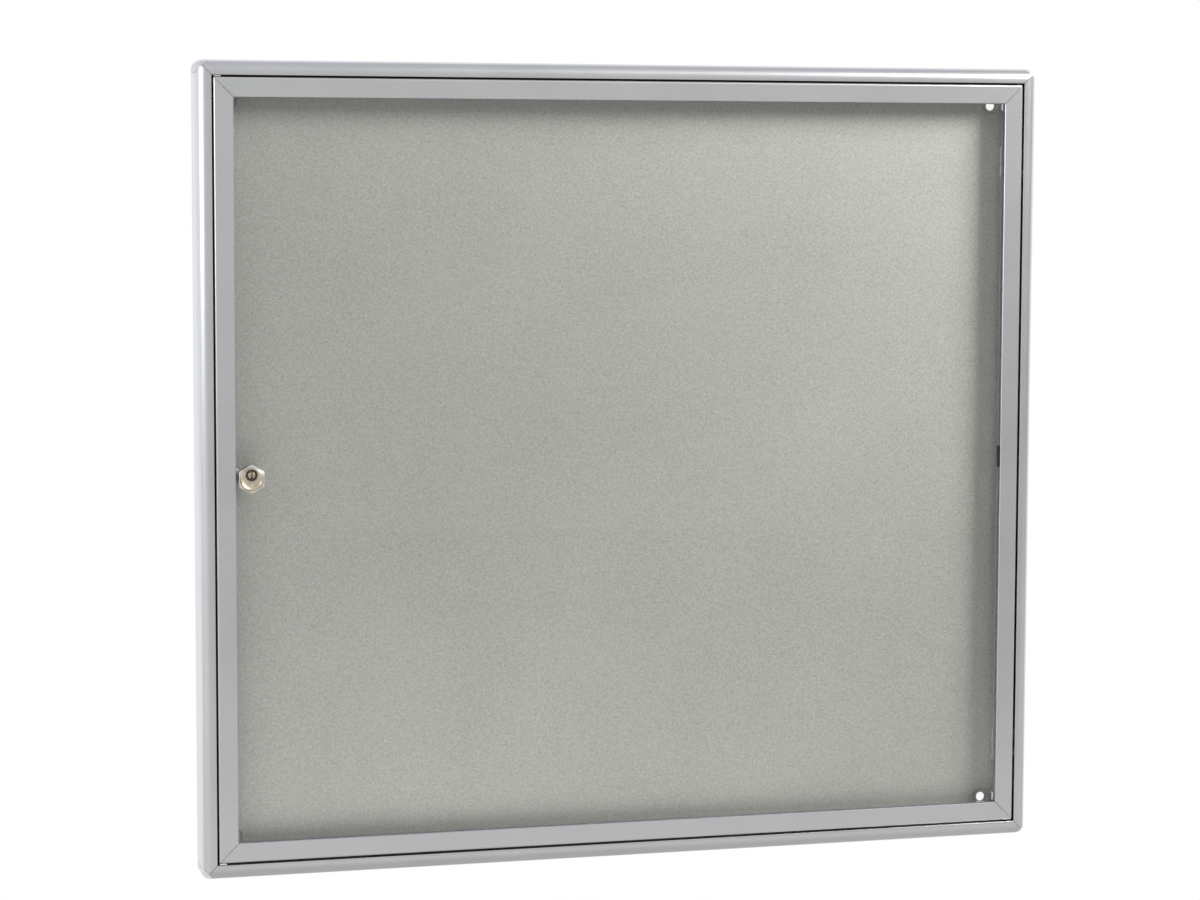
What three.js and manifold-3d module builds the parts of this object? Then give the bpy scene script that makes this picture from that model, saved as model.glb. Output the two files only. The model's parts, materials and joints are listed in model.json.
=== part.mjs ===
// Lockable notice board: an aluminium display case that hangs on a wall, with one glazed
// door hinged on the right, a cylinder lock in the pane and a steel back panel.
//
// Millimetres, X to the right, Y towards the wall, Z up. The origin lies on the wall plane,
// at the centre of the case. "Inward" is the distance from an outer edge towards the middle
// of the frame, and "forward" is the distance from the wall plane towards the viewer.

import * as THREE from 'three';
import { mergeVertices } from 'three/addons/utils/BufferGeometryUtils.js';
import Module from 'manifold-3d';

const wasm = await Module();
wasm.setup();

// Clearances
const MITRE_GAP = 0.2; // between the mitred ends of two profiles
const SEAT_GAP = 0.1; // between a piece and the face that it is fastened to
const INSERT_GAP = 0.3; // round a corner piece inside its chamber
const BORE_GAP = 0.05; // radial, round a pin or plug that turns
const SCREW_GAP = 0.15; // radial, round a screw's shank
const OVERRUN = 1; // how far a cutting shape runs past what it cuts

// Case
const CASE_WIDTH = 750;
const CASE_HEIGHT = 690;
const CHAMBER_DEPTH = 8.8; // behind the panel's slot
const DISPLAY_DEPTH = 11; // from the panel's face to the closed door
const CASE_WALL = 1.6;
const CASE_EDGE_RADIUS = 10;
const CASE_LIP_FLAT = 2.7; // flat part of the lip, past the rounded edge
const STOP_THICKNESS = 1.5;
const STOP_MARGIN = 0.5; // door stop's edge, past the seal
const CHAMBER_REACH = 16; // inner edge of the rear chamber and of the panel's lip
const PANEL_SLOT_REACH = 5; // bottom of the panel's slot, from the outer side
const PANEL_LIP_THICKNESS = 1.2;

// Rounded corner pieces
const CORNER_RADIUS = 8;
const CORNER_CUT = 11.2; // where a corner piece ends along either side
const CORNER_LEG = 45;

// Back panel
const PANEL_THICKNESS = 1;
const PANEL_CLEARANCE = 0.2;
const PANEL_EDGE_CLEARANCE = 1;
const FIXING_INSET_HINGE_SIDE = 37.1;
const FIXING_INSET_LOCK_SIDE = 29.5; // nearer, behind the door's left profile
const FIXING_INSET_Z = 32.6;
const FIXING_HOLE_RADIUS = 4;
const SEAT_FLAT_RADIUS = 6.5; // pressed seat round a fixing hole: its flat bottom
const SEAT_RIM_RADIUS = 7.9;
const SEAT_DEPTH = 0.8;

// Door
const DOOR_GAP = 1.4; // between the case's lip and the door
const DOOR_DEPTH = 9;
const DOOR_FACE = 16.8; // width of a door profile
const DOOR_WALL = 1.3;
const DOOR_EDGE_RADIUS = 2;
const DOOR_BEVEL = 0.5;
const DOOR_LIP = 1; // thickness of the lip in front of the pane
const GROOVE_DEPTH = 6.8;
const CLEAT_LEG = 30;

// Guide pads on the door's top and bottom edges, beside its free end
const GUIDE_FROM_END = 0.5;
const GUIDE_LENGTH = 6.4;
const GUIDE_THICKNESS = 1;
const GUIDE_SETBACK = 1.2; // behind the door's face
const GUIDE_DEPTH = 7;
const GUIDE_PEG_RADIUS = 1;

// Pane and its gasket
const PANE_THICKNESS = 3;
const GASKET_WALL = 0.6;
const GASKET_SLIP = 0.05; // on either side of a gasket's lip
const GASKET_PROUD = 0.3; // how far the lips show past the profile
const CLIP_PROUD = 1.3;
const CLIP_LENGTH = 19;

// Door seal
const SEAL_INSET = 4.9; // from the door's outer edge
const SEAL_WIDTH = 3.5;
const SEAL_BASE = 1.3;
const SEAL_BORE_RADIUS = 0.9;
const SEAL_GAP = 0.35; // from the seal to the closed door

// Hinges
const HINGE_FROM_END = 82.6; // centre of a hinge, from the case's top or bottom
const HINGE_LENGTH = 28;
const HINGE_KNUCKLE_LENGTH = 12; // the case leaf's middle knuckle, with its gaps
const HINGE_KNUCKLE_GAP = 0.3;
const HINGE_EDGE_GAP = 1; // from the door's outer edge to a knuckle
const HINGE_FACE_GAP = 0.3; // from a knuckle to the wall behind the door's face
const HINGE_LEAF = 1.5;
const HINGE_KNUCKLE_RADIUS = 2.2;
const HINGE_PIN_RADIUS = 1.2;
const HINGE_PIN_HEAD_RADIUS = 1.9;
const HINGE_PIN_HEAD = 0.8;
const HINGE_BASE_START = 4; // outer edge of the case leaf, from the outer side
const HINGE_CASE_SCREW_INSET = 9.5; // from the outer side
const HINGE_DOOR_SCREW_INSET = 7; // from the door's outer edge
const HINGE_SCREW_MARGIN = 5; // from the ends of a leaf
const HINGE_LEAF_PROUD = 0.3; // how far the door leaf shows past the profile
const HINGE_SLOT_MARGIN = 0.45;
const HINGE_SEAL_MARGIN = 1.5;

// Screws
const SCREW_RADIUS = 1.4;
const SCREW_LENGTH = 4.6;
const SCREW_HEAD_RADIUS = 2.6;
const SCREW_HEAD = 1.4;
const SCREW_CROSS_LENGTH = 2.8;
const SCREW_CROSS_WIDTH = 0.6;
const SCREW_CROSS_DEPTH = 0.8;

// Lock
const LOCK_GAP = 2.2; // from the door's left profile to the lock's collar
const LOCK_DROP = 4.5; // barrel's axis, below the middle of the case
const BARREL_RADIUS = 9.5;
const BARREL_PROUD = 0.75; // in front of the nut
const BARREL_CHAMFER = 0.6;
const BARREL_DISH = 1.3; // depth of the hollow front
const BARREL_DISH_RADIUS = 6.2; // flat bottom of the hollow front
const BARREL_CLEARANCE = 0.4; // behind the barrel, to the keeper
const PANE_HOLE_CLEARANCE = 0.3;
const NUT_ACROSS_FLATS = 21.5;
const NUT_THICKNESS = 3.5;
const NUT_CHAMFER = 0.9;
const COLLAR_RADIUS = 10.7;
const COLLAR_THICKNESS = 2.4;
const WASHER_THICKNESS = 0.8;
const PLUG_RISE = 3.4; // from the barrel's axis up to the plug's
const PLUG_RADIUS = 5;
const PLUG_RECESS = 1.4;
const PLUG_SHOULDER_RADIUS = 4.7;
const KEYWAY_WIDTH = 1.8;
const KEYWAY_HEIGHT = 7;
const KEYWAY_DEPTH = 8;
const TANG_SIDE = 6;

// Cam and keeper
const CAM_THICKNESS = 1.5;
const CAM_CLEARANCE = 0.35; // between the locked cam and the keeper
const CAM_HUB_RADIUS = 6;
const CAM_WIDTH = 8;
const CAM_REACH = 12;
const CAM_SCREW_RADIUS = 1.45;
const CAM_SCREW_LENGTH = 5;
const CAM_SCREW_HEAD_RADIUS = 4.2;
const CAM_SCREW_HEAD = 1.6;
const KEEPER_THICKNESS = 1.5;
const KEEPER_BASE_START = 8; // outer edge of the keeper's base, from the outer side
const KEEPER_BASE_LENGTH = 40;
const KEEPER_RISER_GAP = 0.5; // from the door stop's edge to the keeper's riser
const KEEPER_TIP_GAP = 3.8; // from the tip of the strike to the plug
const KEEPER_STRIKE_LENGTH = 13.4;
const KEEPER_STRIKE_LIFT = 1.5; // middle of the strike, above the barrel's axis
const KEEPER_SCREW_INSET = 11;
const KEEPER_SCREW_MARGIN = 6; // from the ends of the base

// Smoothness of round shapes
const ARC_STEPS = 8;
const ROUND_STEPS = 32;
const FINE_ROUND_STEPS = 48;
const CORNER_ROUND_STEPS = 48;

// Places worked out from the sizes above, all measured forward from the wall or inward
const PANEL_REAR = CHAMBER_DEPTH + PANEL_CLEARANCE;
const PANEL_FACE = PANEL_REAR + PANEL_THICKNESS;
const SLOT_FRONT = PANEL_FACE + PANEL_CLEARANCE;
const DOOR_REAR = PANEL_FACE + DISPLAY_DEPTH;
const CASE_DEPTH = DOOR_REAR + DOOR_DEPTH;
const LIP_REACH = CASE_EDGE_RADIUS + CASE_LIP_FLAT;
const DOOR_INSET = LIP_REACH + DOOR_GAP;
const SEAL_START = DOOR_INSET + SEAL_INSET;
const SEAL_END = SEAL_START + SEAL_WIDTH;
const SEAL_HEIGHT = SEAL_BASE + SEAL_WIDTH / 2;
const STOP_REACH = SEAL_END + STOP_MARGIN;
const STOP_FACE = DOOR_REAR - SEAL_GAP - SEAL_HEIGHT - SEAT_GAP;
const STOP_REAR = STOP_FACE - STOP_THICKNESS;
const GROOVE_BACK = DOOR_FACE - GROOVE_DEPTH;
const GROOVE_FRONT = CASE_DEPTH - DOOR_LIP;
const GROOVE_REAR = GROOVE_FRONT - PANE_THICKNESS - 2 * (GASKET_WALL + 2 * GASKET_SLIP);
const PANE_FRONT = GROOVE_FRONT - GASKET_WALL - 2 * GASKET_SLIP;
const PANE_REAR = PANE_FRONT - PANE_THICKNESS;
const PANE_INSET = GROOVE_BACK + SEAT_GAP + GASKET_WALL + SEAT_GAP;
const HINGE_INSET = HINGE_EDGE_GAP + HINGE_KNUCKLE_RADIUS;
const HINGE_FORWARD = CASE_DEPTH - DOOR_WALL - HINGE_FACE_GAP - HINGE_KNUCKLE_RADIUS;
const HINGE_Z = CASE_HEIGHT / 2 - HINGE_FROM_END;
const HINGE_SCREW_SPACING = HINGE_LENGTH - 2 * HINGE_SCREW_MARGIN;
const KNUCKLE_HALF = HINGE_KNUCKLE_LENGTH / 2;
const LOCK_INSET = DOOR_INSET + DOOR_FACE + LOCK_GAP + COLLAR_RADIUS;
const LOCK_X = LOCK_INSET - CASE_WIDTH / 2;
const LOCK_Z = -LOCK_DROP;
const STRIKE_REAR = STOP_FACE + SEAT_GAP;
const STRIKE_FRONT = STRIKE_REAR + KEEPER_THICKNESS;
const KEEPER_REACH = LOCK_INSET - PLUG_SHOULDER_RADIUS - KEEPER_TIP_GAP;
const KEEPER_SCREW_SPACING = KEEPER_BASE_LENGTH - 2 * KEEPER_SCREW_MARGIN;
const CAM_FRONT = STRIKE_REAR - CAM_CLEARANCE;
const CAM_REAR = CAM_FRONT - CAM_THICKNESS;
const BARREL_REAR = STRIKE_FRONT + BARREL_CLEARANCE;
const NUT_REAR = PANE_FRONT + SEAT_GAP;
const BARREL_FRONT = NUT_REAR + NUT_THICKNESS + BARREL_PROUD;

const GUIDE_FRONT = CASE_DEPTH - GUIDE_SETBACK;
const GUIDE_REAR = GUIDE_FRONT - GUIDE_DEPTH;

const QUARTER_TURN = Math.PI / 2;
const CASE = { width: CASE_WIDTH, height: CASE_HEIGHT };
const DOOR = { width: CASE_WIDTH - 2 * DOOR_INSET, height: CASE_HEIGHT - 2 * DOOR_INSET };

// The sides of a frame. Each is the bottom side, turned about Y by quarter turns, and x and z
// say which way it lies from the frame's centre.
const SIDES = {
  bottom: { turns: 0, x: 0, z: -1 },
  right: { turns: -1, x: 1, z: 0 },
  top: { turns: 2, x: 0, z: 1 },
  left: { turns: 1, x: -1, z: 0 },
};

// The corners of a frame, each the bottom left one turned in the same way.
const CORNERS = {
  bottom_left: { turns: 0, x: -1, z: -1 },
  bottom_right: { turns: -1, x: 1, z: -1 },
  top_right: { turns: 2, x: 1, z: 1 },
  top_left: { turns: 1, x: -1, z: 1 },
};

const FINISHES = {
  anodised: { color: 0xb6b8ba, roughness: 0.42, metalness: 0.85 },
  corner: { color: 0xc6c8ca, roughness: 0.5, metalness: 0.3 },
  galvanised: { color: 0xa3a6a0, roughness: 0.45, metalness: 0.8 },
  pane: { color: 0xeaf0f0, roughness: 0.05, metalness: 0, transparent: true, opacity: 0.2 },
  gasket: { color: 0x55585e, roughness: 0.7, metalness: 0 },
  black: { color: 0x161616, roughness: 0.6, metalness: 0 },
  nylon: { color: 0xd6d7d4, roughness: 0.5, metalness: 0 },
  zinc: { color: 0xbfc1c0, roughness: 0.35, metalness: 1 },
  nickel: { color: 0xd8d4c4, roughness: 0.25, metalness: 1 },
  brass: { color: 0xb9ab84, roughness: 0.3, metalness: 1 },
};

// A named mesh with its own material.
function part(name, geometry, finish) {
  const material = new THREE.MeshStandardMaterial({ ...FINISHES[finish], flatShading: true });
  const mesh = new THREE.Mesh(geometry, material);
  mesh.name = name;
  return mesh;
}

// Turns a mesh to a side or corner of a frame and moves it there.
function seat(mesh, spot, frame) {
  mesh.rotation.y = spot.turns * QUARTER_TURN;
  mesh.position.set((spot.x * frame.width) / 2, 0, (spot.z * frame.height) / 2);
  return mesh;
}

// A closed geometry as a solid for joining and cutting, with its faces pointing out.
function toSolid(geometry) {
  const bare = geometry.clone();
  bare.deleteAttribute('normal');
  bare.deleteAttribute('uv');
  const merged = mergeVertices(bare);
  const place = merged.attributes.position;
  const corners = [new THREE.Vector3(), new THREE.Vector3(), new THREE.Vector3()];
  const triangles = [];
  let sixVolumes = 0;
  for (let i = 0; i < merged.index.count; i += corners.length) {
    const ids = corners.map((corner, k) => merged.index.getX(i + k));
    if (new Set(ids).size < ids.length) continue;
    corners.forEach((corner, k) => corner.fromBufferAttribute(place, ids[k]));
    sixVolumes += corners[0].dot(corners[1].clone().cross(corners[2]));
    triangles.push(ids);
  }
  const facing = sixVolumes < 0 ? triangles.map((ids) => ids.reverse()) : triangles;
  return new wasm.Manifold(new wasm.Mesh({
    numProp: 3,
    vertProperties: Float32Array.from(place.array),
    triVerts: Uint32Array.from(facing.flat()),
  }));
}

function toGeometry(solid) {
  const mesh = solid.getMesh();
  const geometry = new THREE.BufferGeometry();
  geometry.setAttribute('position', new THREE.BufferAttribute(mesh.vertProperties, 3));
  geometry.setIndex(new THREE.BufferAttribute(mesh.triVerts, 1));
  geometry.computeVertexNormals();
  return geometry;
}

function join(...geometries) {
  return toGeometry(geometries.map(toSolid).reduce((whole, piece) => whole.add(piece)));
}

function cut(geometry, ...tools) {
  return toGeometry(tools.map(toSolid).reduce((rest, tool) => rest.subtract(tool), toSolid(geometry)));
}

function common(...geometries) {
  return toGeometry(geometries.map(toSolid).reduce((shared, piece) => shared.intersect(piece)));
}

// A closed outline from a list of points.
function outline(points) {
  return new THREE.Shape(points.map(([x, y]) => new THREE.Vector2(x, y)));
}

function rectangle(low, high) {
  return outline([[low[0], low[1]], [high[0], low[1]], [high[0], high[1]], [low[0], high[1]]]);
}

// Runs a section of a frame's bottom side, drawn inward and forward, along X. An end marked
// as mitred is cut back by each point's inward distance, and by half of the mitre's gap.
function bar(section, start, end, mitreStart = false, mitreEnd = false) {
  const settings = { depth: 1, bevelEnabled: false, curveSegments: ARC_STEPS };
  const geometry = new THREE.ExtrudeGeometry(section, settings);
  const place = geometry.attributes.position;
  for (let i = 0; i < place.count; i += 1) {
    const inward = place.getX(i);
    const forward = place.getY(i);
    const setback = inward + MITRE_GAP / 2;
    const atStart = start + (mitreStart ? setback : 0);
    const atEnd = end - (mitreEnd ? setback : 0);
    place.setXYZ(i, place.getZ(i) > 0 ? atEnd : atStart, -forward, inward);
  }
  return geometry;
}

// An outline in X and Z, given a thickness forward from a distance in front of the wall.
function plate(shape, forward, thickness) {
  const settings = { depth: thickness, bevelEnabled: false, curveSegments: ARC_STEPS };
  return new THREE.ExtrudeGeometry(shape, settings).rotateX(QUARTER_TURN).translate(0, -forward, 0);
}

function block(low, high) {
  const size = high.map((value, k) => value - low[k]);
  const middle = high.map((value, k) => (value + low[k]) / 2);
  return new THREE.BoxGeometry(...size).translate(...middle);
}

// A round solid about the Y axis from points of radius and forward distance.
function turned(points, steps = ROUND_STEPS) {
  return new THREE.LatheGeometry(points.map(([r, forward]) => new THREE.Vector2(r, -forward)), steps);
}

// A ring or tube about the Y axis, whose section closes on itself.
function turnedRing(points, steps = ROUND_STEPS) {
  return turned([...points, points[0]], steps);
}

// A round cutting tool along Y, through a point of a frame's bottom side.
function drill(x, inward, radius, rear, front) {
  const length = front - rear + 2 * OVERRUN;
  const tool = new THREE.CylinderGeometry(radius, radius, length, ROUND_STEPS);
  return tool.translate(x, -(front + rear) / 2, inward);
}

// A round rod along X, at a place of a frame's bottom side.
function rod(start, end, inward, forward, radius) {
  const geometry = new THREE.CylinderGeometry(radius, radius, end - start, ROUND_STEPS);
  return geometry.rotateZ(QUARTER_TURN).translate((start + end) / 2, -forward, inward);
}

// Exchanges X and Z, which carries one leg of a corner piece onto the other.
function swapped(geometry) {
  const twin = geometry.clone();
  const place = twin.attributes.position;
  for (let i = 0; i < place.count; i += 1) {
    place.setXYZ(i, place.getZ(i), place.getY(i), place.getX(i));
  }
  return twin;
}

// Pan head screw: its head points forward and its shank runs to the wall from the origin.
function screw(shankRadius, shankLength, headRadius, headHeight) {
  const crownShare = 0.6;
  const tipShare = 0.5;
  const body = turned([
    [0, -shankLength],
    [shankRadius * tipShare, -shankLength],
    [shankRadius, shankRadius * tipShare - shankLength],
    [shankRadius, 0],
    [headRadius, 0],
    [headRadius, headHeight * tipShare],
    [headRadius * crownShare, headHeight],
    [0, headHeight],
  ]);
  const floor = headHeight - SCREW_CROSS_DEPTH;
  const half = SCREW_CROSS_LENGTH / 2;
  const thin = SCREW_CROSS_WIDTH / 2;
  const slot = block([-half, -headHeight - OVERRUN, -thin], [half, -floor, thin]);
  return cut(body, slot, swapped(slot));
}

function smallScrew(name) {
  return part(name, screw(SCREW_RADIUS, SCREW_LENGTH, SCREW_HEAD_RADIUS, SCREW_HEAD), 'zinc');
}

// Case profiles

// The hollow section of a case profile: side wall, rounded edge and lip, door stop, panel slot
// and rear chamber.
function caseSection() {
  const edgeStart = CASE_DEPTH - CASE_EDGE_RADIUS;
  const panelLipFace = SLOT_FRONT + PANEL_LIP_THICKNESS;
  const shape = new THREE.Shape();
  shape.moveTo(0, 0);
  shape.lineTo(0, edgeStart);
  shape.absarc(CASE_EDGE_RADIUS, edgeStart, CASE_EDGE_RADIUS, Math.PI, QUARTER_TURN, true);
  shape.lineTo(LIP_REACH, CASE_DEPTH);
  shape.lineTo(LIP_REACH, CASE_DEPTH - CASE_WALL);
  const inside = CASE_EDGE_RADIUS - CASE_WALL;
  shape.absarc(CASE_EDGE_RADIUS, edgeStart, inside, QUARTER_TURN, Math.PI, false);
  shape.lineTo(CASE_WALL, STOP_FACE);
  shape.lineTo(STOP_REACH, STOP_FACE);
  shape.lineTo(STOP_REACH, STOP_REAR);
  shape.lineTo(CASE_WALL, STOP_REAR);
  shape.lineTo(CASE_WALL, panelLipFace);
  shape.lineTo(CHAMBER_REACH, panelLipFace);
  shape.lineTo(CHAMBER_REACH, SLOT_FRONT);
  shape.lineTo(PANEL_SLOT_REACH, SLOT_FRONT);
  shape.lineTo(PANEL_SLOT_REACH, CHAMBER_DEPTH);
  shape.lineTo(CHAMBER_REACH, CHAMBER_DEPTH);
  shape.lineTo(CHAMBER_REACH, 0);
  shape.closePath();
  const chamberEnd = CHAMBER_REACH - CASE_WALL;
  shape.holes.push(rectangle([CASE_WALL, CASE_WALL], [chamberEnd, CHAMBER_DEPTH - CASE_WALL]));
  return shape;
}

// The triangle at a corner, up to a distance along either side, through the whole depth.
function cornerPrism(reach) {
  const far = reach + OVERRUN;
  const shape = outline([[-OVERRUN, -OVERRUN], [far, -OVERRUN], [-OVERRUN, far]]);
  return plate(shape, -OVERRUN, CASE_DEPTH + 2 * OVERRUN);
}

function sideLength(spot, frame) {
  return spot.x === 0 ? frame.width : frame.height;
}

// One case profile, mitred and cut off at its ends for the corner pieces.
function caseRail(spot, holes) {
  const half = sideLength(spot, CASE) / 2;
  const start = cornerPrism(CORNER_CUT).translate(-half, 0, 0);
  const end = start.clone().scale(-1, 1, 1);
  return cut(bar(caseSection(), -half, half, true, true), start, end, ...holes);
}

// Holes for the keeper's screws, along the left profile, whose X runs down.
function keeperHoles() {
  return [-1, 1].map((sign) => {
    const along = -LOCK_Z + (sign * KEEPER_SCREW_SPACING) / 2;
    return drill(along, KEEPER_SCREW_INSET, SCREW_RADIUS + SCREW_GAP, STOP_REAR, STOP_FACE);
  });
}

// Places along the right side of a frame of the screws of both hinges.
function hingeScrewPlaces() {
  return [-1, 1].flatMap((hinge) => [-1, 1].map(
    (screwSide) => hinge * HINGE_Z + (screwSide * HINGE_SCREW_SPACING) / 2,
  ));
}

function hingeCaseHoles() {
  return hingeScrewPlaces().map((along) => drill(
    along, HINGE_CASE_SCREW_INSET, SCREW_RADIUS + SCREW_GAP, STOP_REAR, STOP_FACE,
  ));
}

function caseRails() {
  const holes = { left: keeperHoles(), right: hingeCaseHoles() };
  return Object.entries(SIDES).map(([side, spot]) => {
    const kind = spot.x === 0 ? 'rail' : 'stile';
    const geometry = caseRail(spot, holes[side] ?? []);
    return seat(part(`case_${kind}_${side}`, geometry, 'anodised'), spot, CASE);
  });
}

// Rounded corner pieces

// The case's outer edge in section, from its rear face up to a distance inward.
function edgeOutline(reach) {
  const middle = CASE_DEPTH - CASE_EDGE_RADIUS;
  const lastAngle = Math.acos((CASE_EDGE_RADIUS - reach) / CASE_EDGE_RADIUS);
  const points = [[reach, 0], [0, 0]];
  for (let i = 0; i <= ARC_STEPS; i += 1) {
    const angle = (lastAngle * i) / ARC_STEPS;
    const inward = CASE_EDGE_RADIUS * (1 - Math.cos(angle));
    points.push([inward, middle + CASE_EDGE_RADIUS * Math.sin(angle)]);
  }
  return points;
}

// The visible cap: the edge's section turned round the corner, with a short straight stretch
// on either side, cut off square to the mitre.
function cornerCap() {
  const edge = edgeOutline(CORNER_RADIUS);
  const profile = edge.map(([inward, forward]) => [CORNER_RADIUS - inward, forward]);
  const dome = turned(profile, CORNER_ROUND_STEPS).translate(CORNER_RADIUS, 0, CORNER_RADIUS);
  const far = CASE_DEPTH + OVERRUN;
  const quarter = block([-OVERRUN, -far, -OVERRUN], [CORNER_RADIUS, OVERRUN, CORNER_RADIUS]);
  const straight = bar(outline(edge), CORNER_RADIUS, CORNER_CUT);
  const whole = join(common(dome, quarter), straight, swapped(straight));
  return common(whole, cornerPrism(CORNER_CUT - MITRE_GAP));
}

// The two legs that sit in the chambers of the profiles.
function cornerLegs() {
  const near = CASE_WALL + INSERT_GAP;
  const far = CHAMBER_REACH - CASE_WALL - INSERT_GAP;
  const shape = outline([
    [near, CORNER_RADIUS - near],
    [CORNER_RADIUS - near, near],
    [CORNER_LEG, near],
    [CORNER_LEG, far],
    [far, far],
    [far, CORNER_LEG],
    [near, CORNER_LEG],
  ]);
  return plate(shape, near, CHAMBER_DEPTH - CASE_WALL - INSERT_GAP - near);
}

function cornerConnectors() {
  return Object.entries(CORNERS).map(([corner, spot]) => {
    const connector = part(`corner_connector_${corner}`, join(cornerCap(), cornerLegs()), 'corner');
    return seat(connector, spot, CASE);
  });
}

// Back panel

// Where the four fixing holes lie, in X and Z.
function fixingPlaces() {
  const z = CASE_HEIGHT / 2 - FIXING_INSET_Z;
  return Object.values(CORNERS).map((spot) => {
    const inset = spot.x > 0 ? FIXING_INSET_HINGE_SIDE : FIXING_INSET_LOCK_SIDE;
    return [spot.x * (CASE_WIDTH / 2 - inset), spot.z * z];
  });
}

// A steel sheet with a shallow pressed seat round each fixing hole.
function backPanel() {
  const inset = PANEL_SLOT_REACH + PANEL_EDGE_CLEARANCE;
  const halfWidth = CASE_WIDTH / 2 - inset;
  const halfHeight = CASE_HEIGHT / 2 - inset;
  const sheet = plate(
    rectangle([-halfWidth, -halfHeight], [halfWidth, halfHeight]), PANEL_REAR, PANEL_THICKNESS,
  );
  const floor = PANEL_FACE - SEAT_DEPTH;
  const slope = (SEAT_RIM_RADIUS - SEAT_FLAT_RADIUS) / SEAT_DEPTH;
  const middle = (PANEL_FACE + PANEL_REAR) / 2;
  const boss = () => turned([
    [0, PANEL_REAR - SEAT_DEPTH],
    [SEAT_FLAT_RADIUS, PANEL_REAR - SEAT_DEPTH],
    [SEAT_FLAT_RADIUS + slope * (middle - PANEL_REAR + SEAT_DEPTH), middle],
    [0, middle],
  ]);
  const dish = () => turned([
    [0, floor],
    [SEAT_FLAT_RADIUS, floor],
    [SEAT_RIM_RADIUS + slope * OVERRUN, PANEL_FACE + OVERRUN],
    [0, PANEL_FACE + OVERRUN],
  ]);
  const places = fixingPlaces();
  const raised = join(sheet, ...places.map(([x, z]) => boss().translate(x, 0, z)));
  const dishes = places.map(([x, z]) => dish().translate(x, 0, z));
  const holes = places.map(([x, z]) => drill(x, z, FIXING_HOLE_RADIUS, PANEL_REAR - SEAT_DEPTH, PANEL_FACE));
  return part('back_panel', cut(raised, ...dishes, ...holes), 'galvanised');
}

// Door seal

// A tubular strip with a flat base on the door stop.
function sealSection() {
  const middle = (SEAL_START + SEAL_END) / 2;
  const foot = STOP_FACE + SEAT_GAP;
  const shape = new THREE.Shape();
  shape.moveTo(SEAL_START, foot);
  shape.lineTo(SEAL_END, foot);
  shape.lineTo(SEAL_END, foot + SEAL_BASE);
  shape.absarc(middle, foot + SEAL_BASE, SEAL_WIDTH / 2, 0, Math.PI, false);
  shape.closePath();
  const bore = new THREE.Path();
  bore.absarc(middle, foot + SEAL_BASE, SEAL_BORE_RADIUS, 0, 2 * Math.PI, true);
  shape.holes.push(bore);
  return shape;
}

// The strips of the seal. The one on the hinge side is in three lengths, cut round the hinges.
function doorSeals() {
  const halfWidth = CASE_WIDTH / 2;
  const halfHeight = CASE_HEIGHT / 2;
  const clear = HINGE_LENGTH / 2 + HINGE_SEAL_MARGIN;
  const strips = [
    ['top', SIDES.top, -halfWidth, halfWidth, true, true],
    ['bottom', SIDES.bottom, -halfWidth, halfWidth, true, true],
    ['left', SIDES.left, -halfHeight, halfHeight, true, true],
    ['right_lower', SIDES.right, -halfHeight, -HINGE_Z - clear, true, false],
    ['right_middle', SIDES.right, clear - HINGE_Z, HINGE_Z - clear, false, false],
    ['right_upper', SIDES.right, HINGE_Z + clear, halfHeight, false, true],
  ];
  return strips.map(([name, spot, ...ends]) => {
    const geometry = toGeometry(toSolid(bar(sealSection(), ...ends)));
    return seat(part(`door_seal_${name}`, geometry, 'black'), spot, CASE);
  });
}

// Keeper

// A Z-shaped plate: its base lies behind the door stop, and its strike stands forward of the
// locked cam. X runs down along the left profile, from the lock axis.
function lockKeeper() {
  const baseFront = STOP_REAR - SEAT_GAP;
  const baseRear = baseFront - KEEPER_THICKNESS;
  const riser = STOP_REACH + KEEPER_RISER_GAP;
  const half = KEEPER_BASE_LENGTH / 2;
  const base = bar(rectangle([KEEPER_BASE_START, baseRear], [riser, baseFront]), -half, half);
  const step = outline([
    [riser, baseRear],
    [riser + KEEPER_THICKNESS, baseRear],
    [riser + KEEPER_THICKNESS, STRIKE_REAR],
    [KEEPER_REACH, STRIKE_REAR],
    [KEEPER_REACH, STRIKE_FRONT],
    [riser, STRIKE_FRONT],
    [riser, baseFront],
    [KEEPER_BASE_START, baseFront],
    [KEEPER_BASE_START, baseRear],
  ]);
  const halfStrike = KEEPER_STRIKE_LENGTH / 2;
  const strike = bar(step, -KEEPER_STRIKE_LIFT - halfStrike, halfStrike - KEEPER_STRIKE_LIFT);
  const holes = [-1, 1].map((sign) => drill(
    (sign * KEEPER_SCREW_SPACING) / 2, KEEPER_SCREW_INSET, SCREW_RADIUS + SCREW_GAP, baseRear, baseFront,
  ));
  const keeper = seat(part('lock_keeper', cut(join(base, strike), ...holes), 'zinc'), SIDES.left, CASE);
  return keeper.translateX(-LOCK_Z);
}

// A screw through the door stop or a hinge leaf, set by its place on one side of a frame.
function seatScrew(name, side, frame, along, inward, forward) {
  const mesh = seat(smallScrew(name), SIDES[side], frame);
  mesh.translateX(along);
  mesh.translateZ(inward);
  return mesh.translateY(-forward);
}

function keeperScrews() {
  return [['upper', -1], ['lower', 1]].map(([name, sign]) => {
    const along = -LOCK_Z + (sign * KEEPER_SCREW_SPACING) / 2;
    return seatScrew(
      `keeper_screw_${name}`, 'left', CASE, along, KEEPER_SCREW_INSET, STOP_FACE + SEAT_GAP,
    );
  });
}

// Hinges

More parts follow.
